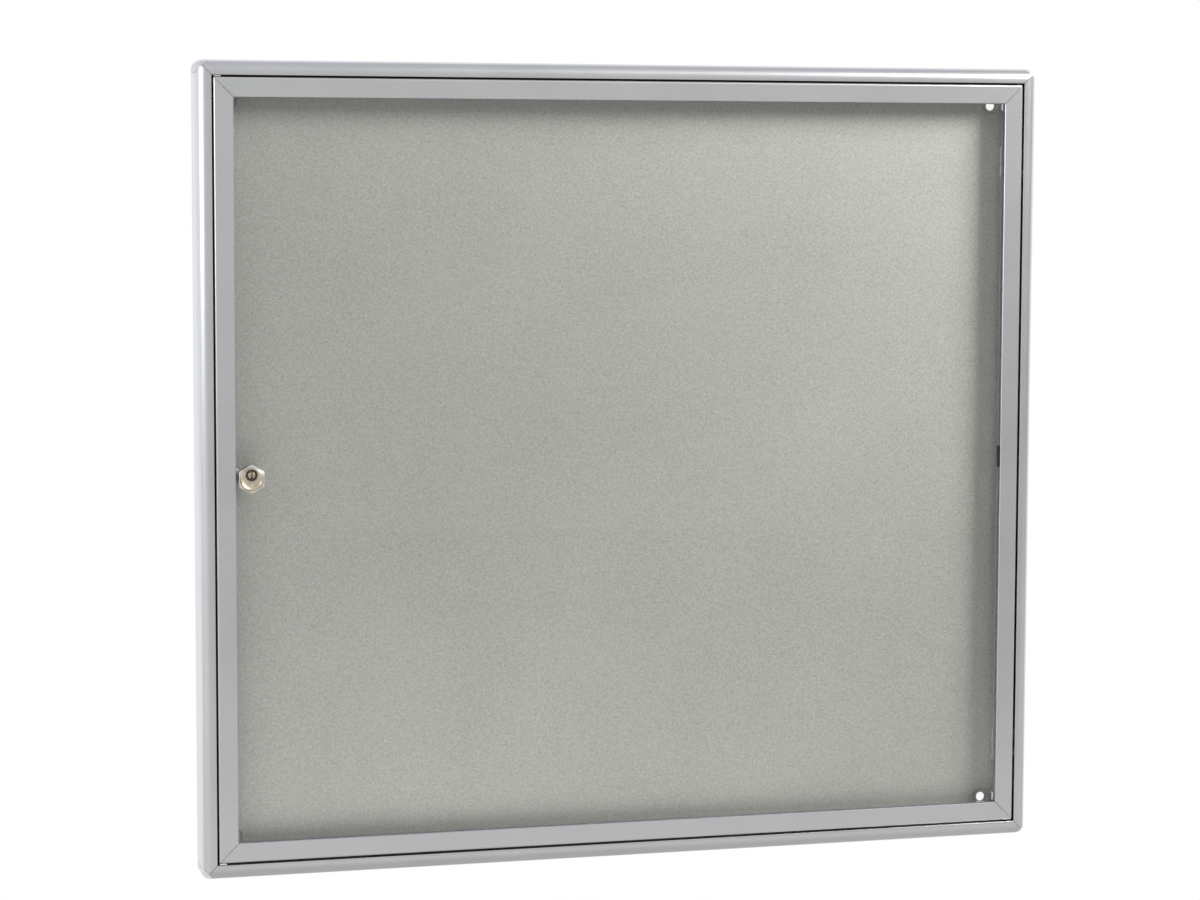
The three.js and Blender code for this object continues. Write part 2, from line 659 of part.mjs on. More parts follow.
// The case leaf: a base on the door stop, and a leg up to the middle knuckle.
function hingeCaseLeaf() {
  const axis = DOOR_INSET + HINGE_INSET;
  const foot = STOP_FACE + SEAT_GAP;
  const half = HINGE_LENGTH / 2;
  const knuckle = KNUCKLE_HALF - HINGE_KNUCKLE_GAP / 2;
  const legStart = axis - HINGE_LEAF / 2;
  const legEnd = axis + HINGE_LEAF / 2;
  const base = bar(rectangle([HINGE_BASE_START, foot], [legEnd, foot + HINGE_LEAF]), -half, half);
  const legTop = HINGE_FORWARD - HINGE_PIN_RADIUS - 2 * BORE_GAP;
  const leg = bar(rectangle([legStart, foot], [legEnd, legTop]), -knuckle, knuckle);
  const tube = rod(-knuckle, knuckle, axis, HINGE_FORWARD, HINGE_KNUCKLE_RADIUS);
  const bore = rod(-half, half, axis, HINGE_FORWARD, HINGE_PIN_RADIUS + BORE_GAP);
  const holes = [-1, 1].map((sign) => drill(
    (sign * HINGE_SCREW_SPACING) / 2, HINGE_CASE_SCREW_INSET, SCREW_RADIUS + SCREW_GAP,
    foot, foot + HINGE_LEAF,
  ));
  return cut(join(base, leg, tube), bore, ...holes);
}

// The door leaf: a plate behind the door profile, with a web up to the two outer knuckles and
// a slot round the case leaf's leg.
function hingeDoorLeaf() {
  const half = HINGE_LENGTH / 2;
  const knuckle = KNUCKLE_HALF + HINGE_KNUCKLE_GAP / 2;
  const front = DOOR_REAR - SEAT_GAP;
  const rear = front - HINGE_LEAF;
  const webStart = HINGE_INSET - HINGE_LEAF / 2;
  const webEnd = HINGE_INSET + HINGE_LEAF / 2;
  const reach = DOOR_FACE + HINGE_LEAF_PROUD;
  const leaf = bar(rectangle([webStart, rear], [reach, front]), -half, half);
  const slotEnd = webEnd + 2 * HINGE_SLOT_MARGIN;
  const slot = block([-knuckle, -front - OVERRUN, -OVERRUN], [knuckle, OVERRUN - rear, slotEnd]);
  const webTop = HINGE_FORWARD - HINGE_PIN_RADIUS - 2 * BORE_GAP;
  const knuckles = [[-half, -knuckle], [knuckle, half]].flatMap(([start, end]) => [
    bar(rectangle([webStart, rear], [webEnd, webTop]), start, end),
    rod(start, end, HINGE_INSET, HINGE_FORWARD, HINGE_KNUCKLE_RADIUS),
  ]);
  const bore = rod(-half - OVERRUN, half + OVERRUN, HINGE_INSET, HINGE_FORWARD, HINGE_PIN_RADIUS + BORE_GAP);
  const holes = [-1, 1].map((sign) => drill(
    (sign * HINGE_SCREW_SPACING) / 2, HINGE_DOOR_SCREW_INSET, SCREW_RADIUS + SCREW_GAP, rear, front,
  ));
  return cut(join(cut(leaf, slot), ...knuckles), bore, ...holes);
}

// A headed pin through the three knuckles, with its head on top.
function hingePin() {
  const half = HINGE_LENGTH / 2;
  const tip = half + HINGE_PIN_HEAD;
  const body = turned([
    [0, -half],
    [HINGE_PIN_RADIUS, -half],
    [HINGE_PIN_RADIUS, half + SEAT_GAP],
    [HINGE_PIN_HEAD_RADIUS, half + SEAT_GAP],
    [HINGE_PIN_HEAD_RADIUS, tip],
    [0, tip],
  ]);
  const geometry = body.rotateZ(QUARTER_TURN).translate(0, -HINGE_FORWARD, HINGE_INSET);
  return toGeometry(toSolid(geometry));
}

const HINGES = { lower: -HINGE_Z, upper: HINGE_Z };
const SCREW_ENDS = { lower: -HINGE_SCREW_SPACING / 2, upper: HINGE_SCREW_SPACING / 2 };

function hingeCasePieces() {
  return Object.entries(HINGES).flatMap(([hinge, along]) => {
    const leaf = seat(part(`hinge_case_leaf_${hinge}`, hingeCaseLeaf(), 'zinc'), SIDES.right, CASE);
    const forward = STOP_FACE + HINGE_LEAF + 2 * SEAT_GAP;
    const screws = Object.entries(SCREW_ENDS).map(([end, offset]) => seatScrew(
      `hinge_${hinge}_case_screw_${end}`, 'right', CASE, along + offset, HINGE_CASE_SCREW_INSET, forward,
    ));
    return [leaf.translateX(along), ...screws];
  });
}

function hingeDoorPieces() {
  return Object.entries(HINGES).flatMap(([hinge, along]) => {
    const leaf = seat(part(`hinge_door_leaf_${hinge}`, hingeDoorLeaf(), 'zinc'), SIDES.right, DOOR);
    const pin = seat(part(`hinge_pin_${hinge}`, hingePin(), 'zinc'), SIDES.right, DOOR);
    const forward = DOOR_REAR - HINGE_LEAF - 2 * SEAT_GAP;
    const screws = Object.entries(SCREW_ENDS).map(([end, offset]) => {
      const name = `hinge_${hinge}_door_screw_${end}`;
      const mesh = seatScrew(name, 'right', DOOR, along + offset, HINGE_DOOR_SCREW_INSET, forward);
      return mesh.rotateX(Math.PI);
    });
    return [leaf.translateX(along), pin.translateX(along), ...screws];
  });
}

// Door profiles

// The section of a door profile, hollow, with the groove for the pane in its inner edge.
function doorSection() {
  const edge = CASE_DEPTH - DOOR_EDGE_RADIUS;
  const shape = new THREE.Shape();
  shape.moveTo(0, DOOR_REAR);
  shape.lineTo(0, edge);
  shape.absarc(DOOR_EDGE_RADIUS, edge, DOOR_EDGE_RADIUS, Math.PI, QUARTER_TURN, true);
  shape.lineTo(DOOR_FACE - DOOR_BEVEL, CASE_DEPTH);
  shape.lineTo(DOOR_FACE, CASE_DEPTH - DOOR_BEVEL);
  shape.lineTo(DOOR_FACE, GROOVE_FRONT);
  shape.lineTo(GROOVE_BACK, GROOVE_FRONT);
  shape.lineTo(GROOVE_BACK, GROOVE_REAR);
  shape.lineTo(DOOR_FACE, GROOVE_REAR);
  shape.lineTo(DOOR_FACE, DOOR_REAR);
  shape.closePath();
  const hollowEnd = [GROOVE_BACK - DOOR_WALL, CASE_DEPTH - DOOR_WALL];
  shape.holes.push(rectangle([DOOR_WALL, DOOR_REAR + DOOR_WALL], hollowEnd));
  return shape;
}

// The slots for both hinges, behind the face of the door's right profile, and its screw holes.
function hingeDoorCuts() {
  const half = HINGE_LENGTH / 2 + 2 * HINGE_PIN_HEAD;
  const slotEnd = HINGE_INSET + HINGE_LEAF / 2 + HINGE_SLOT_MARGIN;
  const front = CASE_DEPTH - DOOR_WALL;
  const slots = Object.values(HINGES).map((along) => block(
    [along - half, -front, -OVERRUN], [along + half, OVERRUN - DOOR_REAR, slotEnd],
  ));
  const holes = hingeScrewPlaces().map((along) => drill(
    along, HINGE_DOOR_SCREW_INSET, SCREW_RADIUS + SCREW_GAP, DOOR_REAR, DOOR_REAR + DOOR_WALL,
  ));
  return [...slots, ...holes];
}

// Where the middle of a guide pad lies along the door's top or bottom side. The free end is at
// the end of the top side's own X and at the start of the bottom side's.
function guidePlace(side) {
  const along = DOOR.width / 2 - GUIDE_FROM_END - GUIDE_LENGTH / 2;
  return side === 'top' ? along : -along;
}

// A round peg or hole through the wall of a door profile's outer edge, behind a guide pad.
function guidePeg(side, radius, start, end) {
  const tool = new THREE.CylinderGeometry(radius, radius, end - start, ROUND_STEPS);
  const middle = (GUIDE_FRONT + GUIDE_REAR) / 2;
  return tool.rotateX(QUARTER_TURN).translate(guidePlace(side), -middle, (start + end) / 2);
}

function doorRails() {
  const guideHole = (side) => guidePeg(side, GUIDE_PEG_RADIUS + SCREW_GAP, -OVERRUN, DOOR_WALL + SEAT_GAP);
  const cuts = {
    right: hingeDoorCuts(),
    top: [guideHole('top')],
    bottom: [guideHole('bottom')],
  };
  return Object.entries(SIDES).map(([side, spot]) => {
    const kind = spot.x === 0 ? 'rail' : 'stile';
    const half = sideLength(spot, DOOR) / 2;
    const whole = bar(doorSection(), -half, half, true, true);
    const geometry = cut(whole, ...(cuts[side] ?? []));
    return seat(part(`door_${kind}_${side}`, geometry, 'anodised'), spot, DOOR);
  });
}

// Small pads on the door's edges that centre its free end in the case.
function doorGuides() {
  return ['top', 'bottom'].map((side) => {
    const along = guidePlace(side);
    const half = GUIDE_LENGTH / 2;
    const outer = -SEAT_GAP - GUIDE_THICKNESS;
    const pad = block([along - half, -GUIDE_FRONT, outer], [along + half, -GUIDE_REAR, -SEAT_GAP]);
    const peg = guidePeg(side, GUIDE_PEG_RADIUS, outer + GUIDE_THICKNESS / 2, DOOR_WALL);
    return seat(part(`door_guide_${side}`, join(pad, peg), 'nylon'), SIDES[side], DOOR);
  });
}

// Corner cleats inside the door profiles.
function doorCleats() {
  const near = DOOR_WALL + INSERT_GAP;
  const far = GROOVE_BACK - DOOR_WALL - INSERT_GAP;
  const rear = DOOR_REAR + near;
  const shape = outline([
    [near, near], [CLEAT_LEG, near], [CLEAT_LEG, far], [far, far], [far, CLEAT_LEG], [near, CLEAT_LEG],
  ]);
  return Object.entries(CORNERS).map(([corner, spot]) => {
    const geometry = toGeometry(toSolid(plate(shape, rear, CASE_DEPTH - near - rear)));
    return seat(part(`door_cleat_${corner}`, geometry, 'zinc'), spot, DOOR);
  });
}

// Pane

function pane() {
  const halfWidth = DOOR.width / 2 - PANE_INSET;
  const halfHeight = DOOR.height / 2 - PANE_INSET;
  const shape = rectangle([-halfWidth, -halfHeight], [halfWidth, halfHeight]);
  const hole = drill(LOCK_X, LOCK_Z, BARREL_RADIUS + PANE_HOLE_CLEARANCE, PANE_REAR, PANE_FRONT);
  return part('pane', cut(plate(shape, PANE_REAR, PANE_THICKNESS), hole), 'pane');
}

// The U-shaped section that wraps the pane's edge, up to a distance inward.
function channelSection(reach) {
  const back = GROOVE_BACK + SEAT_GAP;
  const rear = GROOVE_REAR + GASKET_SLIP;
  const front = GROOVE_FRONT - GASKET_SLIP;
  return outline([
    [back, rear],
    [reach, rear],
    [reach, rear + GASKET_WALL],
    [back + GASKET_WALL, rear + GASKET_WALL],
    [back + GASKET_WALL, front - GASKET_WALL],
    [reach, front - GASKET_WALL],
    [reach, front],
    [back, front],
  ]);
}

// The gasket's strips. The ones on the hinge side meet at a clip at mid-height.
function paneGaskets() {
  const section = channelSection(DOOR_FACE + GASKET_PROUD);
  const halfWidth = DOOR.width / 2;
  const halfHeight = DOOR.height / 2;
  const clip = CLIP_LENGTH / 2 + SEAT_GAP;
  const strips = [
    ['top', SIDES.top, -halfWidth, halfWidth, true, true],
    ['bottom', SIDES.bottom, -halfWidth, halfWidth, true, true],
    ['left', SIDES.left, -halfHeight, halfHeight, true, true],
    ['right_lower', SIDES.right, -halfHeight, -clip, true, false],
    ['right_upper', SIDES.right, clip, halfHeight, false, true],
  ];
  return strips.map(([name, spot, ...ends]) => {
    const geometry = toGeometry(toSolid(bar(section, ...ends)));
    return seat(part(`pane_gasket_${name}`, geometry, 'gasket'), spot, DOOR);
  });
}

function glazingClip() {
  const section = channelSection(DOOR_FACE + CLIP_PROUD);
  const geometry = toGeometry(toSolid(bar(section, -CLIP_LENGTH / 2, CLIP_LENGTH / 2)));
  return seat(part('glazing_clip', geometry, 'black'), SIDES.right, DOOR);
}

// Lock

// The barrel: a hollow-fronted cylinder with a collar that bears on the pane from behind,
// through a washer. Its bore lies above its own axis, as the pins take up the room below.
function lockBarrel() {
  const collarFront = PANE_REAR - WASHER_THICKNESS - 2 * SEAT_GAP;
  const collarRear = collarFront - COLLAR_THICKNESS;
  const body = turned([
    [0, BARREL_REAR],
    [BARREL_RADIUS, BARREL_REAR],
    [BARREL_RADIUS, collarRear],
    [COLLAR_RADIUS, collarRear],
    [COLLAR_RADIUS, collarFront],
    [BARREL_RADIUS, collarFront],
    [BARREL_RADIUS, BARREL_FRONT - BARREL_CHAMFER],
    [BARREL_RADIUS - BARREL_CHAMFER, BARREL_FRONT],
    [BARREL_DISH_RADIUS, BARREL_FRONT - BARREL_DISH],
    [0, BARREL_FRONT - BARREL_DISH],
  ], FINE_ROUND_STEPS);
  const bore = drill(0, PLUG_RISE, PLUG_RADIUS + BORE_GAP, BARREL_REAR, BARREL_FRONT);
  return part('lock_barrel', cut(body, bore), 'brass');
}

function lockWasher() {
  const front = PANE_REAR - SEAT_GAP;
  const inner = BARREL_RADIUS + PANE_HOLE_CLEARANCE;
  const geometry = turnedRing([
    [inner, front - WASHER_THICKNESS],
    [COLLAR_RADIUS, front - WASHER_THICKNESS],
    [COLLAR_RADIUS, front],
    [inner, front],
  ], FINE_ROUND_STEPS);
  return part('lock_washer', toGeometry(toSolid(geometry)), 'black');
}

// The hexagonal nut in front of the pane, with one corner up and its front corners turned off.
function lockNut() {
  const sides = 6;
  const acrossCorners = NUT_ACROSS_FLATS / Math.cos(Math.PI / sides);
  const points = Array.from({ length: sides }, (_, k) => {
    const angle = QUARTER_TURN + (2 * Math.PI * k) / sides;
    return [(acrossCorners / 2) * Math.cos(angle), (acrossCorners / 2) * Math.sin(angle)];
  });
  const prism = plate(outline(points), NUT_REAR, NUT_THICKNESS);
  const front = NUT_REAR + NUT_THICKNESS;
  const crown = acrossCorners / 2;
  const envelope = turned([
    [0, NUT_REAR - OVERRUN],
    [crown + OVERRUN, NUT_REAR - OVERRUN],
    [crown + OVERRUN, front - NUT_CHAMFER - OVERRUN / 2],
    [crown - NUT_CHAMFER, front],
    [0, front],
  ], FINE_ROUND_STEPS);
  const thread = drill(0, 0, BARREL_RADIUS + BORE_GAP, NUT_REAR, front);
  return part('lock_nut', cut(common(prism, envelope), thread), 'nickel');
}

// The plug that the key turns: a keyway in front, a square tang and a tapped hole behind.
function lockPlug() {
  const front = BARREL_FRONT - PLUG_RECESS;
  const tangRear = CAM_REAR + SEAT_GAP;
  const body = turned([
    [0, CAM_FRONT + SEAT_GAP],
    [PLUG_SHOULDER_RADIUS, CAM_FRONT + SEAT_GAP],
    [PLUG_SHOULDER_RADIUS, BARREL_REAR],
    [PLUG_RADIUS, BARREL_REAR],
    [PLUG_RADIUS, front],
    [0, front],
  ], FINE_ROUND_STEPS);
  const side = TANG_SIDE / 2;
  const tang = block([-side, -BARREL_REAR, -side], [side, -tangRear, side]);
  const slit = KEYWAY_WIDTH / 2;
  const rise = KEYWAY_HEIGHT / 2;
  const keyway = block([-slit, -front - OVERRUN, -rise], [slit, KEYWAY_DEPTH - front, rise]);
  const tapped = drill(
    0, 0, CAM_SCREW_RADIUS + SCREW_GAP, tangRear, CAM_REAR + CAM_SCREW_LENGTH,
  );
  return part('lock_plug', cut(join(body, tang), keyway, tapped), 'brass');
}

// The cam: a round hub on the plug's tang with an arm that hangs down while unlocked.
function lockCam() {
  const halfWidth = CAM_WIDTH / 2;
  const side = TANG_SIDE / 2 + SEAT_GAP;
  const tipCentre = halfWidth - CAM_REACH;
  const shoulder = Math.acos(halfWidth / CAM_HUB_RADIUS);
  const shape = new THREE.Shape();
  shape.moveTo(halfWidth, tipCentre);
  shape.absarc(0, 0, CAM_HUB_RADIUS, -shoulder, Math.PI + shoulder, false);
  shape.lineTo(-halfWidth, tipCentre);
  shape.absarc(0, tipCentre, halfWidth, Math.PI, 2 * Math.PI, false);
  shape.holes.push(rectangle([-side, -side], [side, side]));
  const geometry = toGeometry(toSolid(plate(shape, CAM_REAR, CAM_THICKNESS)));
  return part('lock_cam', geometry, 'zinc');
}

function camScrew() {
  const geometry = screw(CAM_SCREW_RADIUS, CAM_SCREW_LENGTH, CAM_SCREW_HEAD_RADIUS, CAM_SCREW_HEAD);
  const mesh = part('cam_screw', geometry, 'zinc');
  mesh.position.y = SEAT_GAP - CAM_REAR;
  mesh.rotation.x = Math.PI;
  return mesh;
}

// Assembly

function caseAssembly() {
  const group = new THREE.Group();
  group.add(...caseRails(), ...cornerConnectors(), backPanel(), ...doorSeals());
  group.add(lockKeeper(), ...keeperScrews(), ...hingeCasePieces());
  return group;
}

// The plug, the cam and its screw, which turn together about the plug's axis.
function latchAssembly() {
  const group = new THREE.Group();
  group.position.z = PLUG_RISE;
  group.add(lockPlug(), lockCam(), camScrew());
  return group;
}

function lockAssembly() {
  const group = new THREE.Group();
  group.position.set(LOCK_X, 0, LOCK_Z);
  group.add(lockBarrel(), lockWasher(), lockNut(), latchAssembly());
  return group;
}

// The door, in a group that turns about the hinge pins.
function doorAssembly() {
  const hinged = new THREE.Group();
  const leaf = new THREE.Group();
  const pivotX = CASE_WIDTH / 2 - DOOR_INSET - HINGE_INSET;
  hinged.position.set(pivotX, -HINGE_FORWARD, 0);
  leaf.position.set(-pivotX, HINGE_FORWARD, 0);
  leaf.add(...doorRails(), ...doorGuides(), ...doorCleats());
  leaf.add(pane(), ...paneGaskets(), glazingClip());
  leaf.add(...hingeDoorPieces(), lockAssembly());
  hinged.add(leaf);
  return hinged;
}

const noticeBoard = new THREE.Group();
noticeBoard.add(caseAssembly(), doorAssembly());

export default noticeBoard;
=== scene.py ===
"""Looks of a lockable wall-hung notice board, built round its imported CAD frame.

Places are in metres in the part's own frame: X to the right, Y into the wall and Z up, with
the origin at the middle of the case on the wall plane. A profile's section is drawn inward
from the outer side of its frame and forward from the wall.
"""

from __future__ import annotations

import json
import logging
import math
from dataclasses import dataclass
from enum import Enum
from typing import Callable, ClassVar, Iterable, Sequence

import bpy
from mathutils import Matrix, Vector

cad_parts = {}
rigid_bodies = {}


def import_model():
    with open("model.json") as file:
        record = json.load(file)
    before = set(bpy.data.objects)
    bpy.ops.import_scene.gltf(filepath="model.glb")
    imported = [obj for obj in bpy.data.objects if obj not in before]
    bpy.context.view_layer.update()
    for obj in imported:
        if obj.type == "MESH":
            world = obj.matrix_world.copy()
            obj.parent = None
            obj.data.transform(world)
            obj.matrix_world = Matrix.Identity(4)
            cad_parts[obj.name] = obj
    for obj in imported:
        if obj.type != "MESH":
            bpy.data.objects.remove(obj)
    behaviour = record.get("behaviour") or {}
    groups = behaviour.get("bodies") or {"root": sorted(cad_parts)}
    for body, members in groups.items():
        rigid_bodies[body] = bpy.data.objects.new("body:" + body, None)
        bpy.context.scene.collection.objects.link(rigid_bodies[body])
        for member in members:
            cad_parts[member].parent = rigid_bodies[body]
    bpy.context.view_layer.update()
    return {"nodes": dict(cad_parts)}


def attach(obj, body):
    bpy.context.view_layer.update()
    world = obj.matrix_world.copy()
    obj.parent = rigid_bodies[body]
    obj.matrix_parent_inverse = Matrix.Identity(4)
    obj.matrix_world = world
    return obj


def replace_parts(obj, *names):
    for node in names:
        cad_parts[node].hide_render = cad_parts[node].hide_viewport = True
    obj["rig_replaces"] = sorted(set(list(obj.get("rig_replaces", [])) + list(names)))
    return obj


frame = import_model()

LOG = logging.getLogger("notice_board")

Piece = bpy.types.Object
Colour = tuple[float, float, float]
Point2 = tuple[float, float]
Point3 = tuple[float, float, float]

OVERRUN = 0.001  # how far a cutting tool runs past what it cuts
SCREW_HOLE = 0.00155  # radius of the holes for the small screws
QUARTER = math.pi / 2


class Spot(Enum):
    """A place on a frame, reached from the bottom or bottom left by quarter turns about Y."""

    def __init__(self, word: str, turns: int, across: int, rise: int) -> None:
        """Keeps the spot's word for names, its turns and where it lies."""
        self.word = word
        self.turns = turns
        self.across = across
        self.rise = rise


class Side(Spot):
    """The sides of a frame."""

    BOTTOM = ("bottom", 0, 0, -1)
    RIGHT = ("right", -1, 1, 0)
    TOP = ("top", 2, 0, 1)
    LEFT = ("left", 1, -1, 0)

    @property
    def upright(self) -> bool:
        """Whether the side runs up and down."""
        return self.across != 0


class Corner(Spot):
    """The corners of a frame."""

    BOTTOM_LEFT = ("bottom_left", 0, -1, -1)
    BOTTOM_RIGHT = ("bottom_right", -1, 1, -1)
    TOP_RIGHT = ("top_right", 2, 1, 1)
    TOP_LEFT = ("top_left", 1, -1, 1)


class Grain(Enum):
    """The way along which a metal's fine lines run, as stretches of the pattern's X, Y and Z."""

    ACROSS = (0.02, 1.0, 1.0)
    UPRIGHT = (1.0, 1.0, 0.02)


@dataclass(frozen=True)
class Outline:
    """The outer size of a frame, which places its sides and corners."""

    width: float
    height: float

    def placed(self, spot: Spot) -> Matrix:
        """Gives the matrix that carries a bottom or bottom left piece to its place."""
        move = Vector((spot.across * self.width / 2, 0.0, spot.rise * self.height / 2))
        return Matrix.Translation(move) @ Matrix.Rotation(spot.turns * QUARTER, 4, "Y")

    def length(self, side: Side) -> float:
        """Gives the length of a side, from corner to corner."""
        return self.height if side.upright else self.width


CASE = Outline(0.750, 0.690)
DOOR = Outline(0.7218, 0.6618)


# Shader expressions and material recipes


@dataclass(frozen=True)
class Signal:
    """A number that varies over a surface, for use in Python expressions."""

    recipe: Recipe
    socket: bpy.types.NodeSocket

    def _with(self, operation: str, *values: Signal | float) -> Signal:
        """Adds one Math node over the given values."""
        return self.recipe.node("Math", dict(enumerate(values)), operation=operation)

    def __add__(self, other: Signal | float) -> Signal:
        """Adds."""
        return self._with("ADD", self, other)

    def __sub__(self, other: Signal | float) -> Signal:
        """Subtracts."""
        return self._with("SUBTRACT", self, other)

    def __rsub__(self, other: float) -> Signal:
        """Subtracts from a number."""
        return self._with("SUBTRACT", other, self)

    def __mul__(self, other: Signal | float) -> Signal:
        """Multiplies."""
        return self._with("MULTIPLY", self, other)

    def __pow__(self, other: float) -> Signal:
        """Raises to a power."""
        return self._with("POWER", self, other)

    __radd__ = __add__
    __rmul__ = __mul__

    def clamped(self) -> Signal:
        """Keeps the number between nought and one."""
        return self.recipe.node("Clamp", {"Value": self})

    def ramp(self, low: float, high: float) -> Signal:
        """Rises smoothly from nought at one value to one at another."""
        inputs = {"Value": self, "From Min": low, "From Max": high}
        return self.recipe.node("MapRange", inputs, interpolation_type="SMOOTHSTEP")


class Recipe:
    """The node tree of a material or of the room, with the one call that adds nodes."""

    def __init__(self, owner: bpy.types.Material | bpy.types.World) -> None:
        """Empties the owner's node tree.

        Args:
            owner: The material or world.
        """
        owner.use_nodes = True
        self.owner = owner
        self.tree = owner.node_tree
        self.tree.nodes.clear()

    def node(
        self, kind: str, inputs: dict | None = None, output: int | str = 0, **settings: str
    ) -> Signal | None:
        """Adds a node, sets it up and joins its sockets.

        Args:
            kind: The node's type, without the start that all types share.
            inputs: Values, signals or colours by socket name or number.
            output: Which output the result stands for.
            **settings: The node's properties, set before its inputs.

        Returns:
            The output as a signal, or nothing where the node has none.
        """
        node = self.tree.nodes.new(f"ShaderNode{kind}")
        for key, value in settings.items():
            setattr(node, key, value)
        for key, value in (inputs or {}).items():
            socket = node.inputs[key]
            if isinstance(value, Signal):
                self.tree.links.new(value.socket, socket)
            else:
                socket.default_value = value
        return Signal(self, node.outputs[output]) if node.outputs else None

    def axes(self, where: Signal) -> list[Signal]:
        """Splits a vector into its X, Y and Z."""
        return [self.node("SeparateXYZ", {"Vector": where}, axis) for axis in "XYZ"]

    def length(self, where: Signal) -> Signal:
        """Gives a vector's length."""
        return self.node("VectorMath", {"Vector": where}, "Value", operation="LENGTH")

    def ray(self, kind: str) -> Signal:
        """Gives one for a kind of ray and nought for others."""
        return self.node("LightPath", output=f"Is {kind} Ray")

    def place(
        self, stretch: Sequence[float] = (1.0, 1.0, 1.0), centre: Sequence[float] = (0, 0, 0)
    ) -> Signal:
        """Gives the place on the piece, stretched and centred for a pattern.

        Args:
            stretch: Factors along X, Y and Z.
            centre: The place that becomes the pattern's middle.

        Returns:
            The mapped coordinates.
        """
        where = self.node("TexCoord", output="Object")
        shift = [-c * s for c, s in zip(centre, stretch)]
        return self.node("Mapping", {"Vector": where, "Location": shift, "Scale": stretch})

    def noise(
        self, where: Signal, scale: float, detail: float = 2.0, rough: float = 0.5
    ) -> Signal:
        """Adds soft noise between nought and one, by its scale and its finer layers."""
        inputs = {"Vector": where, "Scale": scale, "Detail": detail, "Roughness": rough}
        return self.node("TexNoise", inputs)

    def blend(
        self, share: Signal, first: Signal | Sequence[float], second: Signal | Sequence[float]
    ) -> Signal:
        """Mixes two colours.

        Args:
            share: How much of the second colour.
            first: The colour at nought.
            second: The colour at one.

        Returns:
            The colour.
        """
        ends = [end if isinstance(end, Signal) else (*end, 1.0) for end in (first, second)]
        return self.node("Mix", {0: share, 6: ends[0], 7: ends[1]}, 2, data_type="RGBA")

    def bump(self, height: Signal, depth: float, strength: float) -> Signal:
        """Turns a pattern between nought and one into a surface normal, by its depth in metres."""
        inputs = {"Height": height, "Distance": depth, "Strength": strength}
        return self.node("Bump", inputs)

    def surface(self, inputs: dict[str, Signal | float]) -> bpy.types.Material:
        """Ends the recipe with one Principled surface and gives the material."""
        return self.output(self.node("BsdfPrincipled", inputs))

    def output(self, shader: Signal) -> bpy.types.Material:
        """Joins a shader to the output and gives the material."""
        self.node("OutputMaterial", {"Surface": shader})
        return self.owner


# Finishes


@dataclass(frozen=True)
class Finish:
    """What every finish has: a name and the record's slot that it belongs to."""

    name: str
    slot: str

    def fill(self, mix: Recipe) -> bpy.types.Material:
        """Fills the material's empty recipe."""
        raise NotImplementedError

    def material(self) -> bpy.types.Material:
        """Gives the material, made once."""
        made = bpy.data.materials.get(self.name)
        return made or self.fill(Recipe(bpy.data.materials.new(self.name)))


@dataclass(frozen=True)
class Anodised(Finish):
    """Satin silver aluminium with fine lines along the profile."""

    grain: Grain = Grain.ACROSS
    gap: float = 0.3316  # from the middle to the gap round the door
    light: Colour = (0.76, 0.765, 0.775)
    dark: Colour = (0.70, 0.705, 0.715)
    # painted shade: near-black colour for the faces deep in the gap round the door
    gap_shade_colour: Colour = (0.06, 0.06, 0.06)
    rough: float = 0.23

    def gap_shade_mask(self, mix: Recipe) -> Signal:
        """Finds the faces deep in the gap round the door on three sides, where shade is painted in.

        Args:
            mix: The material's recipe.

        Returns:
            One deep in the gap and nought on the open faces.
        """
        x, y, z = mix.axes(mix.place())
        outward = (z * z) ** 0.5 if self.grain is Grain.ACROSS else x * -1.0
        inner = outward.ramp(self.gap - 0.0028, self.gap - 0.0016)
        outer = outward.ramp(self.gap + 0.0030, self.gap + 0.0018)
        return inner * outer * y.ramp(-0.0291, -0.0279)

    def fill(self, mix: Recipe) -> bpy.types.Material:
        """Makes drawn lines, faint clouds in the oxide, a fine etched tooth and painted shade in
        the gap round the door.

        Args:
            mix: The material's empty recipe.

        Returns:
            The material.
        """
        lines = mix.noise(mix.place(self.grain.value), 2600.0, 3.0, 0.6)
        clouds = mix.noise(mix.place(), 14.0, 3.0, 0.55)
        tooth = mix.noise(mix.place(), 5200.0, 1.0)
        tone = (lines * 0.45 + clouds * 0.55).ramp(0.25, 0.75)
        # painted shade: faces deep in the gap round the door are darkened nearly to black and made
        # rougher
        shade_share = self.gap_shade_mask(mix)
        return mix.surface({
            "Base Color": mix.blend(shade_share, mix.blend(tone, self.dark, self.light), self.gap_shade_colour),
            "Metallic": 1.0,
            "Roughness": self.rough + (clouds - 0.5) * 0.06 + (lines - 0.5) * 0.08 + shade_share * 0.3,
            "Normal": mix.bump(lines * 0.7 + tooth * 0.3, 0.00001, 0.12),
        })


@dataclass(frozen=True)
class SilverCoat(Finish):
    """Silver paint on the cast corner pieces: fine flakes under a soft gloss."""

    light: Colour = (0.80, 0.80, 0.81)
    dark: Colour = (0.66, 0.665, 0.68)

    def fill(self, mix: Recipe) -> bpy.types.Material:
        """Makes flakes of slightly different tone and a faint cast texture.

        Args:
            mix: The material's empty recipe.

        Returns:
            The material.
        """
        flakes = mix.noise(mix.place(), 4200.0, 1.0)
        cast = mix.noise(mix.place(), 420.0, 3.0)
        return mix.surface({
            "Base Color": mix.blend(flakes.ramp(0.3, 0.7), self.dark, self.light),
            "Metallic": 0.75,
            "Roughness": 0.34 + (cast - 0.5) * 0.12,
            "Coat Weight": 0.15,
            "Coat Roughness": 0.2,
            "Normal": mix.bump(cast, 0.00005, 0.3),
        })


